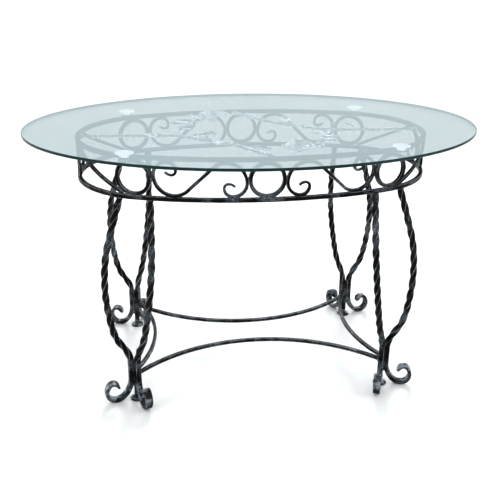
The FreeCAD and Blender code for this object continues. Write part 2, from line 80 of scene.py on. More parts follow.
def amount(name, description, default, most=100.0):
    return FloatProperty(name=name, description=description, default=default, min=0, max=most)


def colour(name, description, default):
    return FloatVectorProperty(name=name, description=description, default=default, subtype="COLOR", min=0,
                               max=1)


class IronSettings(bpy.types.PropertyGroup):
    corner: length("Edge rounding", "Radius that the hammer leaves on the edges of a bar", 0.0013)
    dents: length("Dents", "Depth of the hammer marks", 0.0003)
    spread: length("Spread", "What hammering and lacquer add to each face of a bar", 0.00105)
    weld_gap: length("Weld gap", "Distance between welded bars", 0.0001)
    weld: length("Weld size", "Half the length of a weld bead", 0.008)
    scroll_bar: length("Scroll bar", "Side of the scrolls' square bar", 0.008, 0.003)
    end_radius: length("Rail end radius", "Bend of the rails' ends", 0.244)
    ring_angle: degrees("Corner ring angle", "Place of the corner rings on the end bend", 68.6)
    lacquer: colour("Lacquer", "Black finish of the bars", (0.0018, 0.0020, 0.0026))
    rust: colour("Thin lacquer", "Brown that shows through thin lacquer", (0.0075, 0.0043, 0.0032))
    rubbed: colour("Rubbed edges", "Silver that shows where the finish is rubbed", (0.42, 0.48, 0.54))


class LegSettings(bpy.types.PropertyGroup):
    axis_x: length("Foot place, lengthwise", "Levelling foot's axis from the middle", 0.364)
    axis_y: length("Foot place, widthwise", "Levelling foot's axis from the middle", 0.230)
    bar: length("Leg bar", "Side of the square leg bar", 0.013, 0.004)
    sleeve_radius: length("Sleeve radius", "Outside of the levelling foot's sleeve", 0.008)
    top_spread: length("Top spread", "Bar tops either side of the corner ring", 0.043)
    join_height: length("Join height", "Height where a leg's two bars meet", 0.130)
    end_bulge: length("End bar's bow", "Bow of the bar that faces the table's end", 0.057)
    side_bulge: length("Side bar's bow", "Bow of the bar that faces the table's side", 0.045)
    twist: degrees("Twist", "Whole turn of a leg bar", 13 * 90)
    scroll_height: length("Foot scroll height", "Foot scroll, bottom to top centre line", 0.057)
    scroll_width: length("Foot scroll width", "Flared end of the foot scroll", 0.025)
    scroll_tip: length("Foot scroll tip", "Thinnest part of the foot scroll", 0.005)
    clearance: length("Clearance", "Foot scroll above the floor", 0.004)
    facing: degrees("Leg facing", "Way that a corner's pair of bars faces", 63)
    splay: degrees("Half splay", "Angle from the facing to each bar", 50)


class OrnamentSettings(bpy.types.PropertyGroup):
    wire: length("Wire radius", "Each of the two wires wound into a branch", 0.0027)
    pitch: length("Winding pitch", "Length of one turn of the wires", 0.036, 0.005)
    leaf_length: length("Leaf length", "Leaf from base to tip", 0.054)
    leaf_width: length("Leaf width", "Widest part of a leaf", 0.023)
    petals: IntProperty(name="Petals", description="Petals in the rose's outer ring", default=6, min=3,
                        max=12)
    rose_radius: length("Rose radius", "Open rose", 0.038)
    # Also the colour in which the ornament's painted glints glow
    silver: colour("Silver", "Rubbed finish of roses and leaves", (0.78, 0.83, 0.88))


class GlassSettings(bpy.types.PropertyGroup):
    bevel: length("Ground edge", "Bevel at the glass edge", 0.0012)
    tint: colour("Glass tint", "Colour of the pane", (0.30, 0.405, 0.43))
    rim: colour("Rim colour", "Colour of the pane seen through its edge", (0.003, 0.018, 0.018))
    clear: amount("Square cover", "Share that a face stops when looked at squarely", 0.22, 1)
    cover: amount("Slant cover", "Share that a face stops when looked at from the side", 0.605, 1)


class StageSettings(bpy.types.PropertyGroup):
    floor: colour("Floor", "Pale studio floor", (0.97, 0.965, 0.96))
    backdrop: amount("Backdrop light", "Brightness of the surroundings", 0.94)
    rear: amount("Rear light", "Added brightness of the room behind", 0.08)
    key: amount("Key light", "Brightness of the soft light high behind", 34.0)
    softbox: FloatProperty(name="Softbox power", description="Power of each small softbox", default=14.0,
                           unit="POWER")


def settings(part):
    return getattr(bpy.context.scene, "iron_table_" + part)


# Nodes
class Nodes:
    """Adds nodes to a tree and gives their outputs."""

    def __init__(self, tree):
        self.tree = tree

    def give(self, socket, value):
        """Link an input to another node, or set its value."""
        if isinstance(value, bpy.types.NodeSocket):
            self.tree.links.new(value, socket)
        else:
            socket.default_value = value

    def make(self, kind, values=None, output=0, **properties):
        node = self.tree.nodes.new(kind)
        for name, value in properties.items():
            setattr(node, name, value)
        for key, value in (values or {}).items():
            self.give(node.inputs[key], value)
        return node.outputs[output]

    def calculate(self, operation, first, second=0.0):
        return self.make("ShaderNodeMath", {0: first, 1: second}, operation=operation)

    def times(self, *factors):
        return functools.reduce(functools.partial(self.calculate, "MULTIPLY"), factors)

    def most(self, *values):
        return functools.reduce(functools.partial(self.calculate, "MAXIMUM"), values)

    def vector(self, operation, *values, output=0):
        return self.make("ShaderNodeVectorMath", dict(enumerate(values)), output, operation=operation)

    def plus(self, *vectors):
        return functools.reduce(functools.partial(self.vector, "ADD"), vectors)

    def scaled(self, vector, factor):
        return self.make("ShaderNodeVectorMath", {0: vector, "Scale": factor}, operation="SCALE")

    def part(self, vector, axis):
        return self.make("ShaderNodeSeparateXYZ", {0: vector}, axis)


class Finish(Nodes):
    """A new material, whose patterns lie on the object's own coordinates."""

    def __init__(self, name):
        self.material = bpy.data.materials.new(name)
        self.material.use_nodes = True
        super().__init__(self.material.node_tree)
        self.shader = self.tree.nodes["Principled BSDF"]
        self.place = self.make("ShaderNodeTexCoord", output="Object")

    def noise(self, scale, detail=3.0, roughness=0.55):
        return self.make("ShaderNodeTexNoise", {"Vector": self.place, "Scale": scale, "Detail": detail,
                                                "Roughness": roughness})

    def ramp(self, value, low, high, to_low=0.0, to_high=1.0):
        return self.make("ShaderNodeMapRange", {"Value": value, "From Min": low, "From Max": high,
                                                "To Min": to_low, "To Max": to_high})

    def mix(self, factor, first, second):
        """Blend of two colours, each an output or red, green and blue."""
        pair = [value if isinstance(value, bpy.types.NodeSocket) else opaque(value)
                for value in (first, second)]
        return self.make("ShaderNodeMix", {0: factor, 6: pair[0], 7: pair[1]}, 2, data_type="RGBA")

    def slant(self):
        """How far a face is turned from the line of sight."""
        return self.make("ShaderNodeLayerWeight", {"Blend": 0.5}, "Facing")

    def dress(self, **values):
        """Set or link the shader's inputs, and hand over the material."""
        for name, value in values.items():
            self.give(self.shader.inputs[name.replace("_", " ")], value)
        return self.material


def opaque(rgb):
    return (*rgb, 1.0)


def forged_iron(name, rubbed, edge_share, flat_share, patch_scale, least, painted_glow_strength=0.0, bare=0.0):
    """Black lacquer over hammered iron, rubbed silver on the edges and here and there on the flats, silver
    on upward faces near the floor that is partly scuffed and partly a painted highlight, and painted glints
    of emission where a glow strength is given.
    """
    iron = settings("iron")
    finish = Finish(name)
    ramp = finish.ramp
    wear = finish.make("ShaderNodeAttribute", output="Fac", attribute_name="wear")
    patches = finish.noise(patch_scale, 4.0, 0.6)
    streaks = finish.noise(260.0, 3.0, 0.6)
    broad = finish.noise(patch_scale * 0.35, 3.0)
    # Rubbed edges, broken up by streaks and patches, then rubbed places on the flats
    edge = finish.times(ramp(wear, 0.45, 0.95, 0.0, edge_share), ramp(streaks, 0.40, 0.6, 0.3),
                        ramp(patches, 0.40, 0.58, least))
    flats = finish.times(ramp(broad, 0.50 - bare, 0.66), ramp(streaks, 0.38 - bare, 0.62, 0.0, flat_share))
    # Upper sides near the floor are scuffed by shoes and brooms; they also carry a painted highlight,
    # lighter on faces that point up as if lit from above
    low = ramp(finish.part(finish.place, "Z"), 0.05, 0.09, 0.95, 0.0)
    facing = finish.make("ShaderNodeNewGeometry", output="Normal")
    # Painted highlight: the rubbed silver grows with how far a face points up
    upward = ramp(finish.part(facing, "Z"), -0.25, 0.45, 0.06)
    scuffs_and_painted_highlight = finish.times(low, upward, ramp(patches, 0.45, 0.60, 0.04), ramp(streaks, 0.38, 0.58, 0.3))
    bare_metal_and_painted_highlight = finish.most(edge, flats, scuffs_and_painted_highlight)
    thin = ramp(finish.noise(9.0), 0.42, 0.66)
    dents = finish.make("ShaderNodeTexVoronoi", {"Vector": finish.place, "Scale": 130.0,
                                                 "Smoothness": 0.8}, feature="SMOOTH_F1")
    hammer = finish.make("ShaderNodeBump", {"Height": dents, "Strength": 0.30, "Distance": 0.0012})
    grain = finish.make("ShaderNodeBump", {"Height": finish.noise(900.0), "Strength": 0.18,
                                           "Distance": 0.0004, "Normal": hammer})
    # Painted glints: the ornament glows by emission, in spots on its worn places, where it is seen at a
    # slant, so that it reads through the glass
    if painted_glow_strength:
        glints = ramp(finish.noise(130.0, 2.0), 0.46, 0.58)
        painted_glint_mask = finish.times(ramp(wear, 0.45, 0.8, 0.2), glints, ramp(finish.slant(), 0.25, 0.55))
        # The painted glints glow in the rubbed colour
        finish.dress(Emission_Color=finish.mix(painted_glint_mask, (0, 0, 0), rubbed))
    lacquer = finish.mix(thin, iron.lacquer, iron.rust)
    return finish.dress(Base_Color=finish.mix(bare_metal_and_painted_highlight, lacquer, rubbed),
                        Metallic=ramp(bare_metal_and_painted_highlight, 0.0, 1.0, 0.0, 0.9),
                        Roughness=ramp(streaks, 0.3, 0.7, 0.24, 0.40), Normal=grain,
                        Specular_IOR_Level=0.035, Emission_Strength=painted_glow_strength)


def pane_glass():
    """Float glass with the faint blue-green of its iron content."""
    glass = settings("glass")
    finish = Finish("float glass")
    drift = finish.ramp(finish.noise(2.5, 2.0), 0.3, 0.7, 0.95, 1.05)
    return finish.dress(Base_Color=finish.scaled(tuple(glass.tint), drift),
                        Roughness=finish.ramp(finish.noise(60.0), 0.3, 0.7, 0.0, 0.03),
                        Alpha=finish.ramp(finish.slant(), 0.08, 0.5, glass.clear, glass.cover), IOR=1.5)


def rim_glass():
    """Ground edge, deep green at the front and paler towards the rear: painted light that stands in for the
    light behind the table entering it.
    """
    finish = Finish("glass rim")
    lines = finish.ramp(finish.noise(14.0), 0.4, 0.75, 0.0, 0.5)
    # Painted light: the edge's colour turns pale towards the rear
    rear = finish.ramp(finish.part(finish.place, "Y"), -0.1, 0.12)
    deep = finish.mix(lines, settings("glass").rim, (0.012, 0.05, 0.048))
    return finish.dress(Base_Color=finish.mix(rear, deep, (0.34, 0.44, 0.46)),
                        Roughness=finish.ramp(finish.noise(400.0), 0.3, 0.7, 0.18, 0.3),
                        Specular_IOR_Level=0.12)


def pad_plastic_with_painted_glow():
    """Milky clear plastic of the suction pads, with a painted glow: they emit light though they are no lamp.
    """
    finish = Finish("clear pad")
    cloud = finish.ramp(finish.noise(180.0), 0.3, 0.7)
    # Painted glow: a near-white emission stands in for light reaching the pads through the glass
    return finish.dress(Base_Color=finish.mix(cloud, (0.86, 0.90, 0.92), (0.97, 0.98, 0.98)),
                        Roughness=finish.ramp(cloud, 0.0, 1.0, 0.12, 0.3), IOR=1.45,
                        Emission_Color=(0.95, 0.98, 1.0, 1.0), Emission_Strength=1.65)


def floor_paint():
    finish = Finish("studio floor")
    pale = finish.mix(finish.noise(3.0), settings("stage").floor, (0.96, 0.955, 0.95))
    return finish.dress(Base_Color=pale, Roughness=0.9, Specular_IOR_Level=0.1)


@functools.cache
def material(name):
    """Each finish is made once, when a piece first asks for it."""
    rubbed, silver = settings("iron").rubbed, settings("ornament").silver
    makers = {
        "iron": lambda: forged_iron("forged iron", rubbed, edge_share=0.8, flat_share=0.30,
                                    patch_scale=38.0, least=0.1),
        # The ornament also glows with painted glints
        "ornament": lambda: forged_iron("rubbed ornament", silver, edge_share=1.0, flat_share=1.0,
                                        patch_scale=62.0, least=0.3, painted_glow_strength=5.2, bare=0.12),
        "foot": lambda: forged_iron("levelling foot lacquer", rubbed, edge_share=0.5, flat_share=0.3,
                                    patch_scale=60.0, least=0.1),
        "pane": pane_glass,
        "rim": rim_glass,
        "pad": pad_plastic_with_painted_glow,
        "floor": floor_paint,
    }
    return makers[name]()


# Objects
def show(obj):
    bpy.context.scene.collection.objects.link(obj)
    return obj


def finish_piece(obj, nodes=(), body="frame"):
    """The piece rides on its body and stands for its solids, which are hidden."""
    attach(obj, body)
    if nodes:
        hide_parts(*nodes)


def smooth(mesh):
    mesh.polygons.foreach_set("use_smooth", [True] * len(mesh.polygons))
    mesh.update()


def outward(mesh):
    shape = bmesh.new()
    shape.from_mesh(mesh)
    bmesh.ops.recalc_face_normals(shape, faces=shape.faces)
    shape.to_mesh(mesh)
    shape.free()


def set_wear(mesh, values):
    mesh.attributes.new("wear", "FLOAT", "POINT").data.foreach_set("value", values)


def mesh_object(name, vertices, faces, finish, wear=None):
    mesh = bpy.data.meshes.new(name)
    mesh.from_pydata([tuple(v) for v in vertices], [], faces)
    outward(mesh)
    smooth(mesh)
    if wear is not None:
        set_wear(mesh, wear)
    mesh.materials.append(material(finish))
    return show(bpy.data.objects.new(name, mesh))


def ring_faces(rings, sides, closed=False):
    """Faces between neighbouring rings of points, and from the last ring to the first if closed."""
    faces = []
    for i in range(rings if closed else rings - 1):
        low, high = i * sides, (i + 1) % rings * sides
        for k in range(sides):
            j = (k + 1) % sides
            faces.append((low + k, low + j, high + j, high + k))
    return faces


def turned(name, axis, profile, finish, sides=64):
    """Solid of revolution about an upright axis, from a closed outline of (radius, height) points."""
    vertices = []
    for radius, height in profile:
        for k in range(sides):
            angle = tau * k / sides
            vertices.append(axis + Vector((radius * cos(angle), radius * sin(angle), height)))
    faces = ring_faces(len(profile), sides, closed=True)
    return mesh_object(name, vertices, faces, finish, wear=[TURNED_WEAR] * len(vertices))


def joined(name, pieces):
    """One object from several, in the first one's material."""
    mesh = bpy.data.meshes.new(name)
    shape = bmesh.new()
    for piece in pieces:
        shape.from_mesh(piece.data)
    shape.to_mesh(mesh)
    shape.free()
    mesh.materials.append(pieces[0].data.materials[0])
    for piece in pieces:
        bpy.data.objects.remove(piece)
    return show(bpy.data.objects.new(name, mesh))


def take_shape(obj):
    """Make what the object's modifiers show its own mesh, and drop them."""
    bpy.context.view_layer.update()
    seen = bpy.context.evaluated_depsgraph_get()
    result = bpy.data.meshes.new_from_object(obj.evaluated_get(seen), preserve_all_data_layers=True,
                                             depsgraph=seen)
    obj.modifiers.clear()
    obj.data = result
    result.name = obj.name


# Geometry node trees
class Shaper(Nodes):
    """A new geometry node tree with named inputs, which ends in real, smooth faces with a material."""

    def __init__(self, name, **inputs):
        super().__init__(bpy.data.node_groups.new(name, "GeometryNodeTree"))
        sockets = self.tree.interface
        for label, kind in {"Geometry": "Geometry", **inputs, "Material": "Material"}.items():
            sockets.new_socket(label, in_out="INPUT", socket_type="NodeSocket" + kind)
        sockets.new_socket("Geometry", in_out="OUTPUT", socket_type="NodeSocketGeometry")
        self.given = self.tree.nodes.new("NodeGroupInput").outputs

    def end(self, geometry):
        shaded = self.make("GeometryNodeSetShadeSmooth", {0: geometry, 2: True})
        whole = self.make("GeometryNodeRealizeInstances", {"Geometry": shaded})
        dressed = self.make("GeometryNodeSetMaterial", {"Geometry": whole,
                                                        "Material": self.given["Material"]})
        self.tree.links.new(dressed, self.tree.nodes.new("NodeGroupOutput").inputs[0])
        return self.tree

    def curve(self, mesh):
        return self.make("GeometryNodeMeshToCurve", {"Mesh": mesh})

    def shape_of(self, obj):
        return self.make("GeometryNodeObjectInfo", {"Object": obj}, "Geometry")

    def swept(self, curve, profile):
        return self.make("GeometryNodeCurveToMesh", {"Curve": curve, "Profile Curve": profile,
                                                     "Fill Caps": True})

    def stored(self, geometry, name, value, kind="FLOAT"):
        return self.make("GeometryNodeStoreNamedAttribute", {
            "Geometry": geometry, "Name": name, "Value": value}, data_type=kind, domain="POINT")

    def named(self, name):
        """Vector that the points carry under a name."""
        node = self.make("GeometryNodeInputNamedAttribute", {"Name": name}, data_type="FLOAT_VECTOR").node
        return next(s for s in node.outputs if s.enabled and s.name == "Attribute")


@functools.cache
def forged_section():
    """Outline of a bar with soft edges: each point's corner, its place on the rounding and its wear."""
    corner, arc, wear = [], [], []
    for k in range(4):
        for step, worn in ((-45, 0.4), (-22, 0.85), (0, 1.0), (22, 0.85), (45, 0.4)):
            corner.append(level_way(radians(45 + 90 * k)) * sqrt(2))
            arc.append(level_way(radians(45 + 90 * k + step)))
            wear.append(worn)
        flat = level_way(radians(90 + 90 * k))
        corner.append(flat)
        arc.append(flat)
        wear.append(0.0)
    # A small outline of any size will do, since the tree gives every point its place
    points = [(c + a) * 0.01 for c, a in zip(corner, arc)]
    mesh = path_mesh("forged_section", points, True, corner=corner, arc=arc)
    set_wear(mesh, wear)
    return bpy.data.objects.new("forged_section", mesh)


@functools.cache
def forged_bar_tree():
    """Oblong bar with soft, dented edges along a path, twisted by each point's share of the whole twist.

    The path's points carry their centre, the section's two ways, and its width, thickness and twist share.
    """
    nodes = Shaper("Forged bar", Section="Object", Corner="Float", Twist="Float", Dents="Float")
    given = nodes.given
    body = nodes.swept(nodes.curve(given["Geometry"]), nodes.curve(nodes.shape_of(given["Section"])))
    size, corner, arc, across, along, centre = [nodes.named(name) for name in (
        "size", "corner", "arc", "across", "along", "centre")]
    turn = nodes.times(nodes.part(size, "Z"), given["Twist"])
    cosine, sine = nodes.calculate("COSINE", turn), nodes.calculate("SINE", turn)
    ways = {"X": nodes.plus(nodes.scaled(across, cosine), nodes.scaled(along, sine)),
            "Y": nodes.plus(nodes.scaled(along, cosine), nodes.scaled(across, nodes.times(sine, -1.0)))}
    reaches = []
    for axis, way in ways.items():
        half = nodes.calculate("SUBTRACT", nodes.times(nodes.part(size, axis), 0.5), given["Corner"])
        reach = nodes.calculate("ADD", nodes.times(nodes.part(corner, axis), half),
                                nodes.times(nodes.part(arc, axis), given["Corner"]))
        reaches.append(nodes.scaled(way, reach))
    offset = nodes.plus(*reaches)
    bump = nodes.make("ShaderNodeTexNoise", {"Vector": nodes.plus(centre, offset), "Scale": 70.0,
                                             "Detail": 1.0})
    # Nearly all of the noise is within a quarter of its middle, and four times that is one dent's depth
    depth = nodes.times(nodes.calculate("SUBTRACT", bump, 0.5), nodes.times(given["Dents"], 4.0))
    place = nodes.plus(centre, offset, nodes.scaled(nodes.vector("NORMALIZE", offset), depth))
    return nodes.end(nodes.make("GeometryNodeSetPosition", {"Geometry": body, "Position": place}))


@functools.cache
def wound_wire_tree():
    """Two round wires wound about each other along a path of edges."""
    nodes = Shaper("Wound wires", Wire="Float", Pitch="Float")
    given, wire = nodes.given, nodes.given["Wire"]
    path = nodes.curve(given["Geometry"])
    upright = nodes.make("GeometryNodeSetCurveNormal", {"Curve": path}, mode="Z_UP")
    step = 0.0015
    fine = nodes.make("GeometryNodeResampleCurve", {"Curve": upright, "Length": step}, mode="LENGTH")
    place = nodes.make("GeometryNodeInputPosition")
    core = nodes.stored(fine, "core", place, "FLOAT_VECTOR")
    along = nodes.make("GeometryNodeSplineParameter", output="Length")
    angle = nodes.times(nodes.calculate("DIVIDE", along, given["Pitch"]), tau)
    normal = nodes.make("GeometryNodeInputNormal", output="Normal")
    tangent = nodes.make("GeometryNodeInputTangent")
    section = nodes.make("GeometryNodeCurvePrimitiveCircle", {"Resolution": 10, "Radius": wire})
    from_core = nodes.vector("DISTANCE", place, nodes.named("core"), output="Value")
    wear = nodes.calculate("DIVIDE", from_core, nodes.times(wire, 2.0))
    both = nodes.tree.nodes.new("GeometryNodeJoinGeometry")
    for phase in (0.0, pi):
        way = nodes.make("ShaderNodeVectorRotate", {"Vector": normal, "Axis": tangent,
                                                    "Angle": nodes.calculate("ADD", angle, phase)},
                         rotation_type="AXIS_ANGLE")
        moved = nodes.make("GeometryNodeSetPosition", {"Geometry": core,
                                                       "Offset": nodes.scaled(way, wire)})
        nodes.tree.links.new(nodes.stored(nodes.swept(moved, section), "wear", wear), both.inputs[0])
    return nodes.end(both.outputs[0])


@functools.cache
def scatter_tree():
    """A small shape set on every point, turned and sized by the points' own values."""
    nodes = Shaper("Set on points", Shape="Object")
    given = nodes.given
    turn = nodes.make("FunctionNodeEulerToRotation", {0: nodes.named("turn")})
    points = nodes.make("GeometryNodeMeshToPoints", {"Mesh": given["Geometry"]})
    return nodes.end(nodes.make("GeometryNodeInstanceOnPoints", {
        "Points": points, "Instance": nodes.shape_of(given["Shape"]), "Rotation": turn,
        "Scale": nodes.named("grow")}))


def path_mesh(name, points, closed=False, **vectors):
    """Points, joined in a row or a ring unless closed is None, with the named vectors stored on them."""
    mesh = bpy.data.meshes.new(name)
    edges = [] if closed is None else [(i, i + 1) for i in range(len(points) - 1)]
    if closed:
        edges.append((len(points) - 1, 0))
    mesh.from_pydata([tuple(p) for p in points], edges, [])
    for label, values in vectors.items():
        flat = np.array([tuple(v) for v in values], np.float32).ravel()
        mesh.attributes.new(label, "FLOAT_VECTOR", "POINT").data.foreach_set("vector", flat)
    return mesh


def grown(name, mesh, tree, **inputs):
    """Plain mesh object made by a node tree from a path or from points."""
    obj = show(bpy.data.objects.new(name, mesh))
    modifier = obj.modifiers.new("shape", "NODES")
    modifier.node_group = tree
    for item in tree.interface.items_tree:
        if item.in_out == "INPUT" and item.name in inputs:
            modifier[item.identifier] = inputs[item.name]
    take_shape(obj)
    return obj


def forged_bar(name, node, stations, closed=False, spread_share=1.0):
    """A node's bar, through stations of (centre, across, along, width, thickness, twist share)."""
    iron = settings("iron")
    centre, across, along = list(zip(*stations))[:3]
    added = 2 * iron.spread * spread_share
    size = [(width + added, thickness + added, twist) for *ways, width, thickness, twist in stations]
    mesh = path_mesh(name, centre, closed, centre=centre, across=across, along=along, size=size)
    bar = grown(name, mesh, forged_bar_tree(), Section=forged_section(), Corner=iron.corner,
                Twist=settings("leg").twist, Dents=iron.dents, Material=material("iron"))
    outward(bar.data)
    finish_piece(bar, [node])


def arc_stations(centre, radius, start, square, facing, angles, bar):
    """Stations of a square bar bent about a centre, by angles from one way towards another."""
    ways = [start * cos(angle) + square * sin(angle) for angle in angles]
    return [(centre + way * radius, way, facing, bar, bar, 0) for way in ways]


def scattered(name, shape, places, finish):
    """places holds (point, rotation matrix, scale vector)."""
    places, turns, sizes = zip(*places)
    points = path_mesh(name, places, None, turn=[turn.to_euler() for turn in turns], grow=sizes)
    return grown(name, points, scatter_tree(), Shape=shape, Material=material(finish))


# The oval that the rails follow
def level_way(angle):
    return Vector((cos(angle), sin(angle), 0))


class Oval:
    """Four-arc oval, by the distance along it from the side's middle to the end's."""

    def __init__(self):
        low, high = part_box("lower_rail")
        self.bar = high.z - low.z
        half_length = high.x - self.bar / 2
        half_width = high.y - self.bar / 2
        self.end_radius = settings("iron").end_radius
        self.end_centre = half_length - self.end_radius
        self.side_radius = (self.end_centre**2 + half_width**2 - self.end_radius**2) / (
            2 * (half_width - self.end_radius))
        self.side_centre = self.side_radius - half_width
        self.blend = atan2(self.side_centre, self.end_centre)
        self.blend_distance = self.distance(self.blend)

    def distance(self, angle):
        return self.side_radius * (pi / 2 - self.blend) + self.end_radius * (self.blend - angle)

    def at(self, distance):
        if distance < self.blend_distance:
            normal = level_way(pi / 2 - distance / self.side_radius)
            return normal * self.side_radius - Vector((0, self.side_centre, 0)), normal
        normal = level_way(self.blend - (distance - self.blend_distance) / self.end_radius)
        return normal * self.end_radius + Vector((self.end_centre, 0, 0)), normal


def mirrored(point, signs):
    return Vector((point.x * signs[0], point.y * signs[1], point.z))


def apron_levels():
    """Top of the lower rail and underside of the upper one."""
    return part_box("lower_rail")[1].z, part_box("upper_rail")[0].z


def bent(start, heading, chain, turn_step, run_step):
    """Points and headings of a bar bent in a plane: (length, 0) is a run, (radius, turn) an arc."""
    x, y = start
    points = [(x, y, heading)]
    for size, turn in chain:
        count = ceil(abs(turn) / turn_step) if turn else ceil(size / run_step)
        chord = 2 * size * sin(abs(turn) / count / 2) if turn else size / count
        for step in range(count):
            x += chord * cos(heading + turn / count / 2)
            y += chord * sin(heading + turn / count / 2)
            heading += turn / count
            points.append((x, y, heading))
    return points


def in_degrees(arcs):
    return [(size, radians(turn)) for size, turn in arcs]


class TABLE_OT_glass(bpy.types.Operator):
    """Oval glass pane with a ground edge"""

    bl_idname = "iron_table.glass"
    bl_label = "Glass top"

    def execute(self, context):
        low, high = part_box("glass_top")
        bevel = settings("glass").bevel
        middle_x, middle_y = (low.x + high.x) / 2, (low.y + high.y) / 2
        half_x, half_y = (high.x - low.x) / 2, (high.y - low.y) / 2
        soft = bevel / 4
        rings = [(bevel, low.z), (bevel - soft, low.z + soft / 4), (soft / 4, low.z + bevel - soft),
                 (0, low.z + bevel), (0, high.z - bevel), (soft / 4, high.z - bevel + soft),
                 (bevel - soft, high.z - soft / 4), (bevel, high.z)]
        sides = 360
        vertices = []
        for inset, level in rings:
            for k in range(sides):
                way = level_way(tau * k / sides)
                vertices.append((middle_x + way.x * (half_x - inset), middle_y + way.y * (half_y - inset),
                                 level))
        faces = ring_faces(len(rings), sides)
        faces += [tuple(range(sides)), tuple(range(len(vertices) - sides, len(vertices)))]
        pane = mesh_object("glass_pane", vertices, faces, "pane")
        pane.data.materials.append(material("rim"))
        for polygon in pane.data.polygons:
            flat = abs(polygon.normal.z) > 0.99
            polygon.use_smooth = not flat
            polygon.material_index = 0 if flat else 1
        finish_piece(pane, ["glass_top"], "glass")
        return {"FINISHED"}


class TABLE_OT_pads(bpy.types.Operator):
    """Clear suction pads and the welded tabs that carry them"""

    bl_idname = "iron_table.pads"
    bl_label = "Pads and tabs"

    def execute(self, context):
        radius, peg, under_glass = 0.025, 0.0040, 0.0003
        low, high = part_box("glass_pads")
        high.z -= under_glass
        tab_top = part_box("pad_tabs")[1].z
        pads = []
        for name, signs in QUARTERS.items():
            axis = Vector(((high.x - radius) * signs[0], (high.y - radius) * signs[1], 0))
            # The peg in the tab's hole, the shoulder on the tab, then the cup that spreads under the glass
            profile = [(PINHOLE, low.z), (peg - 0.0006, low.z), (peg, low.z + 0.0008), (peg, tab_top),
                       (0.0105, tab_top + 0.0002), (0.0120, tab_top + 0.0012), (0.0125, high.z - 0.0075),
                       (0.0150, high.z - 0.0055), (0.0215, high.z - 0.0022), (0.0248, high.z - 0.0010),
                       (radius, high.z - 0.0005), (radius - 0.0003, high.z), (PINHOLE, high.z)]
            pads.append(turned("pad_" + name, axis, profile, "pad"))
        finish_piece(joined("clear_pads", pads), ["glass_pads"])
        finish_piece(softened("pad_tab_plates", "pad_tabs", bevel=0.0008), ["pad_tabs"])
        return {"FINISHED"}


def softened(name, node, bevel):
    """Iron copy of a solid, with its facets merged and its edges rounded."""
    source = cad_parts[node].data.copy()
    shape = bmesh.new()
    shape.from_mesh(source)
    bmesh.ops.remove_doubles(shape, verts=shape.verts, dist=1e-6)
    bmesh.ops.dissolve_limit(shape, angle_limit=radians(1), verts=shape.verts, edges=shape.edges)
    shape.to_mesh(source)
    shape.free()
    source.materials.clear()
    source.materials.append(material("iron"))
    obj = show(bpy.data.objects.new(name, source))
    rounding = obj.modifiers.new("rounding", "BEVEL")
    rounding.width = bevel
    rounding.segments = 2
    rounding.limit_method = "ANGLE"
    rounding.angle_limit = radians(40)
    take_shape(obj)
    smooth(obj.data)
    set_wear(obj.data, [PLATE_WEAR] * len(obj.data.vertices))
    return obj


class TABLE_OT_rails(bpy.types.Operator):
    """Upper and lower oval rails of square bar"""

    bl_idname = "iron_table.rails"
    bl_label = "Rails"

    def execute(self, context):
        oval = Oval()
        quarter = oval.distance(0)
        steps = 72
        for node in ("upper_rail", "lower_rail"):
            low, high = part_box(node)
            level = UP * (low.z + high.z) / 2
            stations = []
            for signs in ((1, 1), (1, -1), (-1, -1), (-1, 1)):
                order = range(steps) if signs[0] * signs[1] > 0 else range(steps, 0, -1)
                for i in order:
                    point, normal = oval.at(quarter * i / steps)
                    stations.append((mirrored(point, signs) + level, mirrored(normal, signs), UP, oval.bar,
                                     oval.bar, 0))
            forged_bar(node + "_bar", node, stations, closed=True, spread_share=RAIL_SPREAD)
        return {"FINISHED"}


def ring_places(oval):
    """Centre and outward way of each ring, by name."""
    corner = oval.distance(settings("iron").ring_angle)
    places = {"front": (0, (1, -1)), "back": (0, (1, 1))}
    places.update({name: (corner, signs) for name, signs in QUARTERS.items()})
    bottom, top = apron_levels()
    middle = UP * (bottom + top) / 2
    result = {}
    for name, (distance, signs) in places.items():
        point, normal = oval.at(distance)
        result[name] = (mirrored(point, signs) + middle, mirrored(normal, signs))
    return result


class TABLE_OT_rings(bpy.types.Operator):
    """Flat rings between the rails"""

    bl_idname = "iron_table.rings"
    bl_label = "Rings"

    def execute(self, context):
        low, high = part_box("ring_front")
        bar = high.y - low.y
        radius = (high.z - low.z - bar) / 2
        steps = 72
        angles = [tau * i / steps for i in range(steps)]
        for name, (centre, out) in ring_places(Oval()).items():
            stations = arc_stations(centre, radius, UP.cross(out), UP, out, angles, bar)
            forged_bar("ring_bar_" + name, "ring_" + name, stations, closed=True, spread_share=RAIL_SPREAD)
        return {"FINISHED"}


# Apron scroll as shares of half the apron's height: half a side scroll's reach, an end scroll's reach,
# its shoulder, then its large bend and curl
SIDE_SCROLL_SHARE = 2.69
END_SCROLL_SHARE = 5.66
SHOULDER_SHARE = 1.09
scroll_arc_shares = ((1.2, 90), (0.8, 90), (0.51, 90), (0.25, 90), (0.48, 50))
# Degrees between the points along a scroll, and the scroll bar's side at its root and what its curl loses
SCROLL_STEP = 5
ROOT_SHARE, CURL_TAPER = 0.9, 0.36


def scroll_points(half_height, reach_share, rise_share, reach):
    """Apron scroll that climbs from its start and curls inwards, stretched lengthwise to its reach."""
    arcs = in_degrees([(share * half_height, -turn) for share, turn in scroll_arc_shares])
    shoulder = SHOULDER_SHARE * half_height
    centre_x = reach_share * half_height - arcs[0][0]
    centre_y = rise_share * half_height - shoulder
    distance = hypot(centre_x, centre_y)
    slope = atan2(centre_y, centre_x) + asin(shoulder / distance)
    run = sqrt(distance**2 - shoulder**2)
    stretch = reach / (reach_share * half_height)
    chain = [(run, 0), (shoulder, -slope)] + arcs
    points = bent((0, 0), slope, chain, turn_step=radians(SCROLL_STEP), run_step=0.008)
    return [(x * stretch, y, atan2(sin(heading), cos(heading) * stretch))
            for x, y, heading in points]


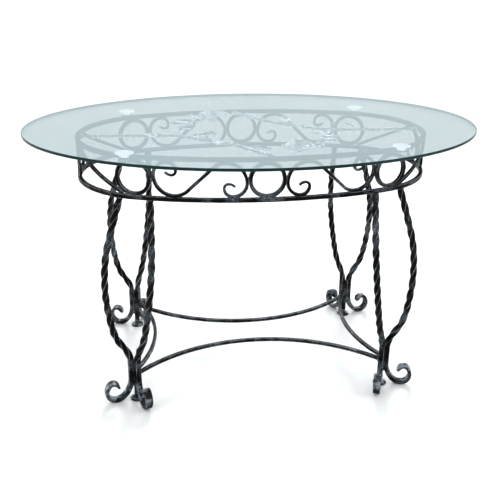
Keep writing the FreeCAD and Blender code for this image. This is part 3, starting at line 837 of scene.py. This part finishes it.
def scroll_routes(oval):
    """Each apron scroll's node, stations and heights from the apron's middle."""
    gap = settings("iron").weld_gap
    bar = settings("iron").scroll_bar
    bottom, top = apron_levels()
    low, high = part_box("ring_front")
    ring = (high.z - low.z) / 2
    low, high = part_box("side_scroll_front_left")
    half_height = (high.z - low.z - bar) / 2
    curl = sum(round(turn / SCROLL_STEP) for share, turn in scroll_arc_shares[2:])
    corner = oval.distance(settings("iron").ring_angle)
    forward = scroll_points(half_height, SIDE_SCROLL_SHARE, 1, corner / 2 - ring - gap - bar / 2)
    double = [(-x, -y, heading) for x, y, heading in forward[:0:-1]] + forward
    tail = sqrt((ring + gap)**2 - (half_height - bar / 2)**2) + bar / 2
    reach = oval.distance(0) - corner - bar / 2 - gap - tail
    single = [(tail + x, y - half_height, heading) for x, y, heading in
              scroll_points(half_height, END_SCROLL_SHARE, 2, reach)]
    routes = []
    for kind, points, origin, direction in (("side_scroll_", double, corner / 2, -1),
                                            ("end_scroll_", single, corner, 1)):
        for name, signs in QUARTERS.items():
            stations = []
            for i, (along, height, heading) in enumerate(points):
                to_tip = len(points) - 1 - i if points is single else min(i, len(points) - 1 - i)
                side = bar * (ROOT_SHARE - CURL_TAPER * max(0, 1 - to_tip / curl))
                point, normal = oval.at(origin + direction * along)
                tangent = normal.cross(UP) * direction
                across = UP * cos(heading) - tangent * sin(heading)
                place = point + UP * ((bottom + top) / 2 + height)
                stations.append((mirrored(place, signs), mirrored(across, signs), mirrored(normal, signs),
                                 side, side, 0))
            routes.append((kind + name, stations, [height for along, height, heading in points]))
    return routes


class TABLE_OT_scrolls(bpy.types.Operator):
    """Double scrolls along the sides and single scrolls round the ends"""

    bl_idname = "iron_table.scrolls"
    bl_label = "Scrolls"

    def execute(self, context):
        for node, stations, heights in scroll_routes(Oval()):
            forged_bar(node + "_bar", node, stations, spread_share=SCROLL_SPREAD)
        return {"FINISHED"}


# Bow of a leg bar at even steps down, and the foot scroll's arcs as shares of its height
leg_bow_shares = (0, 0.456, 0.851, 1, 0.935, 0.665, 0)
foot_arc_shares = ((1.32, 45), (0.61, 45), (0.456, 90), (0.632, 40), (0.246, 80), (0.316, 60))
# Share of the foot's length where its tip begins to round off, how far it narrows, and how late it flares
TIP_STARTS, TIP_NARROWS, FLARE_LATENESS = 0.88, 0.8, 1.15


def through(points, last_way, count):
    """Smooth line through points that ends in a given direction: places and tangents."""
    ways = [points[1] - points[0]]
    ways += [(after - before) / 2 for before, after in zip(points, points[2:])]
    ways.append(last_way * (points[-1] - points[-2]).length)
    places = []
    for i in range(count + 1):
        where = i / count * (len(points) - 1)
        k = min(int(where), len(points) - 2)
        t = where - k
        a, b, p, q = points[k], points[k + 1], ways[k], ways[k + 1]
        place = (a * (2 * t**3 - 3 * t**2 + 1) + p * (t**3 - 2 * t**2 + t)
                 + b * (3 * t**2 - 2 * t**3) + q * (t**3 - t**2))
        way = (a * (6 * t**2 - 6 * t) + p * (3 * t**2 - 4 * t + 1) + b * (6 * t - 6 * t**2)
               + q * (3 * t**2 - 2 * t))
        places.append((place, way.normalized()))
    return places


class TABLE_OT_legs(bpy.types.Operator):
    """Twisted leg bars that end in flared foot scrolls"""

    bl_idname = "iron_table.legs"
    bl_label = "Legs"

    def execute(self, context):
        leg = settings("leg")
        oval = Oval()
        corner = oval.distance(settings("iron").ring_angle)
        for name, signs in QUARTERS.items():
            self.bar("leg_end_bar_" + name, oval.at(corner + leg.top_spread)[0], leg.facing - leg.splay,
                     leg.end_bulge, signs)
            self.bar("leg_side_bar_" + name, oval.at(corner - leg.top_spread)[0], leg.facing + leg.splay,
                     leg.side_bulge, signs)
        return {"FINISHED"}

    def bar(self, node, top, angle, bulge, signs):
        """Twisted bar that bows from under the lower rail to the sleeve, with its foot scroll."""
        leg = settings("leg")
        gap = settings("iron").weld_gap
        out = level_way(angle)
        beside = leg.sleeve_radius + leg.bar / 2 + gap
        axis = Vector((leg.axis_x, leg.axis_y, 0))
        top = top + UP * (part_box("lower_rail")[0].z - gap)
        join = axis + out * beside + UP * leg.join_height
        spans = len(leg_bow_shares) - 1
        points = [mirrored(top.lerp(join, i / spans) + out * bulge * share, signs)
                  for i, share in enumerate(leg_bow_shares)]
        out, axis = mirrored(out, signs), mirrored(axis, signs)
        side = UP.cross(out)
        steps = 144
        stations = []
        for i, (place, way) in enumerate(through(points, -UP, steps)):
            way = -UP if i in (0, steps) else way
            along = way.cross(side).normalized()
            stations.append((place, along.cross(way).normalized(), along, leg.bar, leg.bar, i / steps - 1))
        stations += self.foot(axis, out, side, beside)
        forged_bar(node + "_forged", node, stations)

    def foot(self, axis, out, side, beside):
        """Straight run beside the sleeve, then the scroll that widens and thins to a rounded tip."""
        leg = settings("leg")
        arcs = in_degrees([(share * leg.scroll_height, turn) for share, turn in foot_arc_shares])
        heading, drop = -pi / 2, 0
        for radius, turn in arcs:
            if heading < -1e-6:
                drop += radius * (cos(heading + turn) - cos(heading))
            heading += turn
        lowest = leg.clearance + (leg.bar + leg.scroll_tip) / 4
        chain = [(leg.join_height - drop - lowest, 0)] + arcs
        samples = bent((beside, leg.join_height), -pi / 2, chain, turn_step=radians(4),
                       run_step=0.008)[1:]
        stations = []
        for i, (reach, level, heading) in enumerate(samples):
            share = i / (len(samples) - 1)
            way = out * cos(heading) + UP * sin(heading)
            blunt = sqrt(1 - max(0, (share - TIP_STARTS) / (1 - TIP_STARTS))**2 * TIP_NARROWS)
            width = (leg.bar + (leg.scroll_width - leg.bar) * share**FLARE_LATENESS) * blunt
            thickness = leg.bar + (leg.scroll_tip - leg.bar) * share
            stations.append((axis + out * reach + UP * level, side, way.cross(side), width, thickness, 0))
        return stations


class TABLE_OT_levellers(bpy.types.Operator):
    """Sleeves between the leg bars, and the levelling feet that screw into them"""

    bl_idname = "iron_table.levellers"
    bl_label = "Levelling feet"

    def execute(self, context):
        for name in QUARTERS:
            low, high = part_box("sleeve_" + name)
            axis = Vector(((low.x + high.x) / 2, (low.y + high.y) / 2, 0))
            radius = settings("leg").sleeve_radius
            bore, soft = radius - 0.00245, 0.0008
            outline = [(bore, low.z), (radius - soft, low.z), (radius, low.z + soft),
                       (radius, high.z - soft), (radius - soft / 3, high.z - soft / 3),
                       (radius - soft, high.z), (bore, high.z)]
            sleeve = turned("sleeve_tube_" + name, axis, outline, "iron", sides=40)
            finish_piece(sleeve, ["sleeve_" + name])
            self.foot(name, axis)
        return {"FINISHED"}

    def foot(self, name, axis):
        low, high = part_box("levelling_foot_" + name)
        radius, nut_radius, stem_radius = (high.x - low.x) / 2, 0.008, 0.0055
        disc = turned("disc", axis, [
            (PINHOLE, 0), (radius - 0.0012, 0), (radius, 0.0012), (radius, 0.0036),
            (radius - 0.0005, 0.0046), (radius - 0.0018, 0.0052), (0.011, 0.0064), (0.0088, 0.0068),
            (PINHOLE, 0.0068)], "foot")
        nut = turned("nut", axis, [
            (PINHOLE, 0.0066), (0.0072, 0.0066), (nut_radius, 0.0072), (nut_radius, 0.0192),
            (0.0070, 0.0200), (PINHOLE, 0.0200)], "foot", sides=6)
        stem = turned("stem", axis, [
            (PINHOLE, 0.0199), (0.0053, 0.0199), (stem_radius, 0.021), (stem_radius, high.z - 0.001),
            (0.0046, high.z), (PINHOLE, high.z)], "foot", sides=32)
        nut.data.polygons.foreach_set("use_smooth", [False] * len(nut.data.polygons))
        foot = joined("levelling_foot_turned_" + name, [disc, nut, stem])
        finish_piece(foot, ["levelling_foot_" + name], "foot_" + name)


class TABLE_OT_stretchers(bpy.types.Operator):
    """Square bars bowed inwards between the legs"""

    bl_idname = "iron_table.stretchers"
    bl_label = "Stretchers"

    def execute(self, context):
        leg = settings("leg")
        for name, (x, y) in {"front": (0, -1), "back": (0, 1), "right": (1, 0), "left": (-1, 0)}.items():
            out = Vector((x, y, 0))
            low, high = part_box("stretcher_" + name)
            bar = high.z - low.z
            span, edge = (leg.axis_x, leg.axis_y) if x == 0 else (leg.axis_y, leg.axis_x)
            inner = min(abs(low.dot(out)), abs(high.dot(out))) + bar / 2
            bow = edge - inner
            radius = (span**2 + bow**2) / (2 * bow)
            reach = asin(span / radius) - (leg.sleeve_radius + settings("iron").weld_gap) / radius
            centre = out * (inner + radius) + UP * (low.z + high.z) / 2
            steps = 72
            angles = [reach * (2 * i / steps - 1) for i in range(steps + 1)]
            stations = arc_stations(centre, radius, -out, UP.cross(out), UP, angles, bar)
            forged_bar("stretcher_bar_" + name, "stretcher_" + name, stations, spread_share=STRETCHER_SPREAD)
        return {"FINISHED"}


# The right half's ornament is the left half's, turned half round
HALVES = {"left": 1, "right": -1}
# Corners of the branch and the twig as shares of the rail's half length and half width
branch_corner_shares = ((-1, 0), (-0.44, -0.045), (-0.14, -0.46), (0.056, -1))
twig_corner_shares = ((-0.33, 0.46), (-0.20, 0.71))
branch_bend_shares = (0.30, 0.40)
twig_bend_shares = (0.045, 0.16)
TWIG_START_SHARE = 0.42
TWIG_WIRE_SHARE = 0.72
# Leaves: share of the way along the rod, turn from the rod's heading in degrees
branch_leaf_shares = ((0.30, -55), (0.52, 50), (0.64, -50), (0.84, 35))
twig_leaf_shares = ((0.18, -42), (0.44, 105), (0.58, 95), (0.78, -75), (0.80, 88))


def rounded(corners, radii):
    """Heading and chain of straight runs joined by tangent arcs."""
    ways = [b - a for a, b in zip(corners, corners[1:])]
    headings = [atan2(way.y, way.x) for way in ways]
    turns = [after - before for before, after in zip(headings, headings[1:])]
    cuts = [0] + [radius * tan(abs(turn) / 2) for radius, turn in zip(radii, turns)] + [0]
    chain = []
    for i, way in enumerate(ways):
        chain.append((way.length - cuts[i] - cuts[i + 1], 0))
        if i < len(turns):
            chain.append((radii[i], turns[i]))
    return headings[0], chain


def along_rod(points, share):
    """Place and heading at a share of a bent rod's length."""
    where = share * (len(points) - 1)
    k = min(int(where), len(points) - 2)
    (x, y, heading), after = points[k], points[k + 1]
    t = where - k
    return Vector((x + (after[0] - x) * t, y + (after[1] - y) * t, 0)), heading


def evenly(points, step):
    """The same bent rod with points at even distances."""
    xy = np.array([p[:2] for p in points])
    run = np.concatenate([[0], np.cumsum(np.hypot(*np.diff(xy, axis=0).T))])
    heading = np.unwrap([p[2] for p in points])
    places = np.linspace(0, run[-1], ceil(run[-1] / step) + 1)
    return list(zip(*(np.interp(places, run, column) for column in (xy[:, 0], xy[:, 1], heading))))


def branch_rods(sign):
    """Branch and twig of one side as evenly spaced points, with their level."""
    def rod(corners, bend_shares):
        heading, chain = rounded(corners, [share * half_x for share in bend_shares])
        bends = bent(corners[0].xy, heading, chain, turn_step=radians(3), run_step=0.01)
        return evenly(bends, 0.006)

    gap = settings("iron").weld_gap
    oval = Oval()
    half_x = oval.end_centre + oval.end_radius
    half_y = oval.side_radius - oval.side_centre
    low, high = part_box("branch_left")
    bar = high.z - low.z
    route, twig_end = [[Vector((x * half_x * sign, y * half_y * sign, 0)) for x, y in shares]
                       for shares in (branch_corner_shares, twig_corner_shares)]
    inside = oval.bar / 2 + gap
    route[0].x = (inside - half_x) * sign
    reach = oval.side_radius - inside - bar
    route[-1].y = (oval.side_centre - sqrt(reach**2 - route[-1].x**2)) * sign
    branch = rod(route, branch_bend_shares)
    start, way = along_rod(branch, TWIG_START_SHARE)
    square = level_way(way + pi / 2)
    start += square * (bar / 2 + gap)
    twig = rod([start, start + square * twig_bend_shares[0] * half_x] + twig_end, twig_bend_shares)
    return branch, twig, (low.z + high.z) / 2


class TABLE_OT_branches(bpy.types.Operator):
    """Branches and twigs of two wound wires inside the upper rail"""

    bl_idname = "iron_table.branches"
    bl_label = "Branches"

    def execute(self, context):
        ornament = settings("ornament")
        for name, sign in HALVES.items():
            branch, twig, level = branch_rods(sign)
            for kind, rod, wire in (("branch", branch, ornament.wire),
                                    ("twig", twig, ornament.wire * TWIG_WIRE_SHARE)):
                path = [Vector((x, y, level)) for x, y, heading in rod]
                wires = grown(f"{kind}_wires_{name}", path_mesh(kind, path), wound_wire_tree(), Wire=wire,
                              Pitch=ornament.pitch, Material=material("ornament"))
                finish_piece(wires, [f"{kind}_{name}"])
        return {"FINISHED"}


def blade(name, reach, width, cup, fold, ruffle, teeth, thickness):
    """Thin veined blade from its base at the origin along +X, as a closed shell."""
    rows, columns = 25, 13
    vertices, wear = [], []
    # t runs from base to tip and u from edge to edge; each row's width has the outline and its teeth, and
    # the height has the cup, the fold, a wave, the rib and the veins
    for side in (0, 1):
        for i in range(rows):
            t = i / (rows - 1)
            tooth = 1 + teeth * (0.5 - (t * 8) % 1)
            half = width / 2 * (sin(pi * min(1.0, 0.06 + 0.94 * t)**0.8)**0.7 + 0.05) * tooth
            for j in range(columns):
                u = 2 * j / (columns - 1) - 1
                rib = exp(-(u * 6)**2)
                vein = cos(tau * (t * 6 - abs(u) * 1.6))**2 * (1 - t) * (1 - rib)
                lift = cup * t * t + fold * width * u * u * (1 - 0.4 * t)
                wave = ruffle * sin(8 * t + 2.4 * u) * t
                relief = thickness * (0.5 * rib + 0.35 * vein)
                vertices.append(Vector((reach * t, half * u, lift + wave + relief - side * thickness)))
                wear.append(max(0.35 + 0.65 * rib, 0.5 + 0.4 * vein, abs(u)**4))
    count = rows * columns
    faces = []
    for i in range(rows - 1):
        for j in range(columns - 1):
            a = i * columns + j
            faces.append((a, a + 1, a + columns + 1, a + columns))
            faces.append((count + a, count + a + columns, count + a + columns + 1, count + a + 1))
    border = list(range(columns)) + [i * columns + columns - 1 for i in range(1, rows)]
    border += [(rows - 1) * columns + j for j in range(columns - 2, -1, -1)]
    border += [i * columns for i in range(rows - 2, 0, -1)]
    for a, b in zip(border, border[1:] + border[:1]):
        faces.append((a, count + a, count + b, b))
    return hidden(mesh_object(name, vertices, faces, "ornament", wear))


def hidden(obj):
    """A shape that only a node tree uses isn't part of the scene."""
    for collection in list(obj.users_collection):
        collection.objects.unlink(obj)
    return obj


class TABLE_OT_leaves(bpy.types.Operator):
    """Veined leaves on the branches and twigs"""

    bl_idname = "iron_table.leaves"
    bl_label = "Leaves"

    def execute(self, context):
        ornament = settings("ornament")
        thickness, tilt = 0.0014, radians(5)
        leaf = blade("leaf_blade", ornament.leaf_length, ornament.leaf_width, cup=0.004, fold=0.22,
                     ruffle=0.0018, teeth=0.16, thickness=thickness)
        for name, sign in HALVES.items():
            branch, twig, level = branch_rods(sign)
            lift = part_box("leaves_" + name)[0].z + thickness
            places = []
            for rod, shares in ((branch, branch_leaf_shares), (twig, twig_leaf_shares)):
                for share, turn in shares:
                    point, heading = along_rod(rod, share)
                    point.z = lift
                    # Each leaf is rolled a little differently
                    roll = Matrix.Rotation(0.12 * sin(40 * share), 3, "X")
                    spin = Matrix.Rotation(heading + radians(turn), 3, "Z") @ roll
                    places.append((point, Matrix.Rotation(tilt, 3, "X") @ spin, Vector((1, 1, 1))))
            leaves = scattered("leaf_blades_" + name, leaf, places, "ornament")
            finish_piece(leaves, ["leaves_" + name])
        return {"FINISHED"}


class TABLE_OT_roses(bpy.types.Operator):
    """Open roses at the ends of the twigs"""

    bl_idname = "iron_table.roses"
    bl_label = "Roses"

    def execute(self, context):
        ornament = settings("ornament")
        reach = ornament.rose_radius
        petal = blade("rose_petal", reach, reach * 1.05, cup=0.005, fold=0.10, ruffle=0.0009, teeth=0.0,
                      thickness=0.0011)
        stub = 0.0046
        for name, sign in HALVES.items():
            low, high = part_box("rose_" + name)
            branch, twig, level = branch_rods(sign)
            x, y, heading = twig[-1]
            centre = Vector((x, y, 0)) + level_way(heading) * stub
            base = low.z + 0.0085
            places = []
            # Rings of petals: size, rise in degrees, share of a turn, number
            rings = ((1.22, 2, 0, ornament.petals), (0.88, 8, 0.5, ornament.petals), (0.60, 16, 0.2, 5),
                     (0.40, 30, 0.6, 4), (0.24, 55, 0.1, 3))
            for k, (grow, rise, turn, number) in enumerate(rings):
                for i in range(number):
                    angle = heading + tau * (i + turn) / number
                    spin = Matrix.Rotation(angle, 3, "Z") @ Matrix.Rotation(-radians(rise), 3, "Y")
                    point = centre + UP * (base + 0.0006 * k) + level_way(angle) * 0.001
                    places.append((point, spin, Vector((grow, grow, grow * 0.8 + 0.2))))
            petals = scattered("petals_" + name, petal, places, "ornament")
            heart = turned("rose_stub_" + name, centre, [
                (PINHOLE, low.z), (0.0040, low.z), (stub, low.z + 0.0008), (stub, base),
                (0.0030, base + 0.0035), (PINHOLE, base + 0.0040)], "ornament", sides=24)
            finish_piece(joined("rose_forged_" + name, [petals, heart]), ["rose_" + name])
        return {"FINISHED"}


def weld_bead():
    """Rippled bead of unit radii, long along X."""
    rows, sides = 9, 8
    vertices, wear = [], []
    for i in range(rows):
        # Ripples: every other ring stands out and is rubbed brighter
        x = 0.96 * (2 * i / (rows - 1) - 1)
        radius = sqrt(1 - x * x) * (1.1 if i % 2 else 0.92)
        for k in range(sides):
            angle = tau * (k + 0.3 * i) / sides
            vertices.append((x, radius * cos(angle), radius * sin(angle)))
            wear.append(0.85 if i % 2 else 0.3)
    faces = [tuple(range(sides)), tuple(range((rows - 1) * sides, rows * sides))]
    return hidden(mesh_object("weld_bead", vertices, faces + ring_faces(rows, sides), "iron", wear))


class TABLE_OT_welds(bpy.types.Operator):
    """Weld beads where bars meet"""

    bl_idname = "iron_table.welds"
    bl_label = "Weld beads"

    def execute(self, context):
        oval = Oval()
        size = settings("iron").weld
        seams = self.apron_seams(oval) + self.leg_seams(oval) + self.rod_seams()
        places = []
        for i, (point, seam, out, reach) in enumerate(seams):
            along = seam.normalized()
            side = out.cross(along).normalized()
            turn = Matrix((along, side, along.cross(side))).transposed()
            # No two beads are quite the same; each is thin between its bars and bulges out of the seam
            grow = size * (1 + 0.12 * sin(5 * i))
            places.append((point, turn, (grow * reach, grow * 0.3, grow * 0.56)))
        finish_piece(scattered("weld_beads", weld_bead(), places, "iron"))
        return {"FINISHED"}

    def apron_seams(self, oval):
        """Contact place, seam's way, outward way and length share of each weld between the rails."""
        seams = []
        bottom, top = apron_levels()
        ring = (top - bottom) / 2
        for centre, out in ring_places(oval).values():
            tangent = UP.cross(out)
            for way, seam in ((UP, tangent), (-UP, tangent), (tangent, UP), (-tangent, UP)):
                seams.append((centre + way * ring, seam, out, 1.1))
        for node, stations, heights in scroll_routes(oval):
            # A scroll touches a rail where it is within a fifth of a millimetre of its full height
            limit = max(abs(height) for height in heights) - 0.0002
            tops = [i for i in range(1, len(heights) - 1) if abs(heights[i]) > limit
                    and abs(heights[i]) >= max(abs(heights[i - 1]), abs(heights[i + 1]))]
            for i in tops:
                place, across, out = stations[i][:3]
                rail = top if heights[i] > 0 else bottom
                seams.append((Vector((place.x, place.y, rail)), UP.cross(out), out, 1.2))
        for x in (-1, 1):
            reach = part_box("end_scroll_back_right")[1].x - settings("iron").scroll_bar / 2
            place = Vector((x * reach, 0, (bottom + top) / 2 + 0.2 * ring))
            seams.append((place, UP, Vector((x, 0, 0)), 1.2))
        return seams

    def leg_seams(self, oval):
        """The same for the leg bars' tops, the sleeves and the stretchers' ends."""
        leg = settings("leg")
        corner = oval.distance(settings("iron").ring_angle)
        under_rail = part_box("lower_rail")[0].z
        stretcher = (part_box("stretcher_front")[0].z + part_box("stretcher_front")[1].z) / 2
        seams = []
        for signs in QUARTERS.values():
            axis = mirrored(Vector((leg.axis_x, leg.axis_y, 0)), signs)
            for spread, angle in ((leg.top_spread, leg.facing - leg.splay),
                                  (-leg.top_spread, leg.facing + leg.splay)):
                point, normal = oval.at(corner + spread)
                out = mirrored(normal, signs)
                way = mirrored(level_way(angle), signs)
                for side in (-1, 1):
                    # Under the rail, either side of the bar's top
                    edge = mirrored(point, signs) + UP * under_rail + out * side * leg.bar * 0.42
                    seams.append((edge, UP.cross(out), out, 1.0))
                    # Two beads down each side of the sleeve
                    across = UP.cross(way) * side * leg.bar * 0.36
                    for drop in (0.008, 0.075):
                        level = UP * (leg.join_height - drop)
                        seams.append((axis + way * leg.sleeve_radius + across + level, UP, way, 1.4))
            for way in (Vector((-signs[0], 0, 0)), Vector((0, -signs[1], 0))):
                seams.append((axis + way * (leg.sleeve_radius + 0.0004) + UP * stretcher, UP, way, 0.9))
        return seams

    def rod_seams(self):
        """The same for the ends of the branches and the twigs."""
        seams = []
        for sign in HALVES.values():
            branch, twig, level = branch_rods(sign)
            for x, y, heading in (branch[0], branch[-1], twig[0]):
                way = level_way(heading)
                seams.append((Vector((x, y, level)), UP.cross(way), way, 0.7))
        return seams


class TABLE_OT_stage(bpy.types.Operator):
    """Pale floor, soft lights and the camera at the photograph's place"""

    bl_idname = "iron_table.stage"
    bl_label = "Stage"

    def execute(self, context):
        stage = settings("stage")
        reach = 60.0
        floor = bpy.data.meshes.new("floor")
        corners = [(-reach, -reach, 0), (reach, -reach, 0), (reach, reach, 0), (-reach, reach, 0)]
        floor.from_pydata(corners, [], [(0, 1, 2, 3)])
        floor.materials.append(material("floor"))
        show(bpy.data.objects.new("studio_floor", floor))
        # Name, place, height of the spot it faces, size and power
        for softbox in (("left_softbox", (-2.2, -1.9, 1.5), 0.5, 1.7, stage.softbox),
                        ("right_softbox", (2.4, -1.4, 1.9), 0.5, 1.7, stage.softbox),
                        ("back_softbox", (0.6, 2.2, 2.9), 0.7, 2.0, stage.softbox * 2)):
            self.light(*softbox)
        self.surroundings(context.scene, stage)
        self.camera(context.scene)
        context.scene.view_settings.view_transform = "Standard"
        return {"FINISHED"}

    def light(self, name, place, aim_height, size, power):
        """Square soft light, turned towards a spot over the floor's middle."""
        data = bpy.data.lights.new(name, "AREA")
        data.size = size
        data.energy = power
        way = UP * aim_height - Vector(place)
        turn = way.to_track_quat("-Z", "Y").to_matrix().to_4x4()
        show(bpy.data.objects.new(name, data)).matrix_world = Matrix.Translation(place) @ turn

    def surroundings(self, scene, stage):
        """White room that grows softly brighter towards a broad light high behind the table."""
        world = bpy.data.worlds.new("studio")
        world.use_nodes = True
        nodes = Nodes(world.node_tree)
        background = nodes.tree.nodes["Background"].inputs
        rear = self.glow(nodes, (0.25, 1.0, 0.15), focus=2.0, strength=stage.rear)
        key = self.glow(nodes, (0.16, 0.80, 0.53), focus=160.0, strength=stage.key)
        nodes.give(background["Color"], (0.97, 1.0, 1.01, 1.0))
        nodes.give(background["Strength"], nodes.calculate("ADD", nodes.calculate("ADD", rear, key),
                                                           stage.backdrop))
        scene.world = world

    def glow(self, nodes, way, focus, strength):
        """Brightness that is greatest in one direction and falls off softly round it."""
        seen = nodes.make("ShaderNodeTexCoord", output="Generated")
        toward = nodes.vector("DOT_PRODUCT", seen, tuple(Vector(way).normalized()), output="Value")
        near = nodes.most(toward, 0.0)
        return nodes.times(nodes.calculate("POWER", near, focus), strength)

    def camera(self, scene):
        """Matched by least squares to the rails, the glass and the levelling feet in the photograph."""
        azimuth, elevation, roll = (radians(a) for a in (-7.9517, 22.4131, 0.6704))
        distance, aim_height = 2.3986, 0.3569
        focal_px, frame_px, centre_x = 779.4466, 500.0, 251.7824
        back = Vector((sin(azimuth) * cos(elevation), -cos(azimuth) * cos(elevation),
                       sin(elevation)))
        right = Vector((cos(azimuth), sin(azimuth), 0))
        upward = back.cross(right)
        rolled_right = right * cos(roll) + upward * sin(roll)
        rolled_up = upward * cos(roll) - right * sin(roll)
        data = bpy.data.cameras.new("camera")
        data.sensor_width = 36.0
        data.lens = data.sensor_width * focal_px / frame_px
        data.shift_x = (frame_px / 2 - centre_x) / frame_px
        data.clip_end = 200.0
        camera = show(bpy.data.objects.new("camera", data))
        place = Vector((0, 0, aim_height)) + back * distance
        turn = Matrix((rolled_right, rolled_up, back)).transposed().to_4x4()
        camera.matrix_world = Matrix.Translation(place) @ turn
        scene.camera = camera


class TABLE_PT_panel(bpy.types.Panel):
    """Lists the table's pieces"""

    bl_idname = "TABLE_PT_panel"
    bl_label = "Iron table"
    bl_space_type = "VIEW_3D"
    bl_region_type = "UI"
    bl_category = "Iron table"

    def draw(self, context):
        for part in SETTINGS:
            box = self.layout.box()
            group = settings(part)
            for name in group.__annotations__:
                box.prop(group, name)
        for piece in PIECES:
            self.layout.operator(piece.bl_idname)


SETTINGS = {"iron": IronSettings, "leg": LegSettings, "ornament": OrnamentSettings, "glass": GlassSettings,
            "stage": StageSettings}
PIECES = (TABLE_OT_rails, TABLE_OT_rings, TABLE_OT_scrolls, TABLE_OT_legs, TABLE_OT_levellers,
          TABLE_OT_stretchers, TABLE_OT_welds, TABLE_OT_branches, TABLE_OT_leaves, TABLE_OT_roses,
          TABLE_OT_pads, TABLE_OT_glass, TABLE_OT_stage)
CLASSES = tuple(SETTINGS.values()) + PIECES + (TABLE_PT_panel,)


def register():
    for cls in CLASSES:
        bpy.utils.register_class(cls)
    for part, group in SETTINGS.items():
        setattr(bpy.types.Scene, "iron_table_" + part, PointerProperty(type=group))


def unregister():
    for part in SETTINGS:
        delattr(bpy.types.Scene, "iron_table_" + part)
    for cls in reversed(CLASSES):
        bpy.utils.unregister_class(cls)


def main():
    register()
    for piece in PIECES:
        group, name = piece.bl_idname.split(".")
        getattr(getattr(bpy.ops, group), name)()


if __name__ == "__main__":
    main()
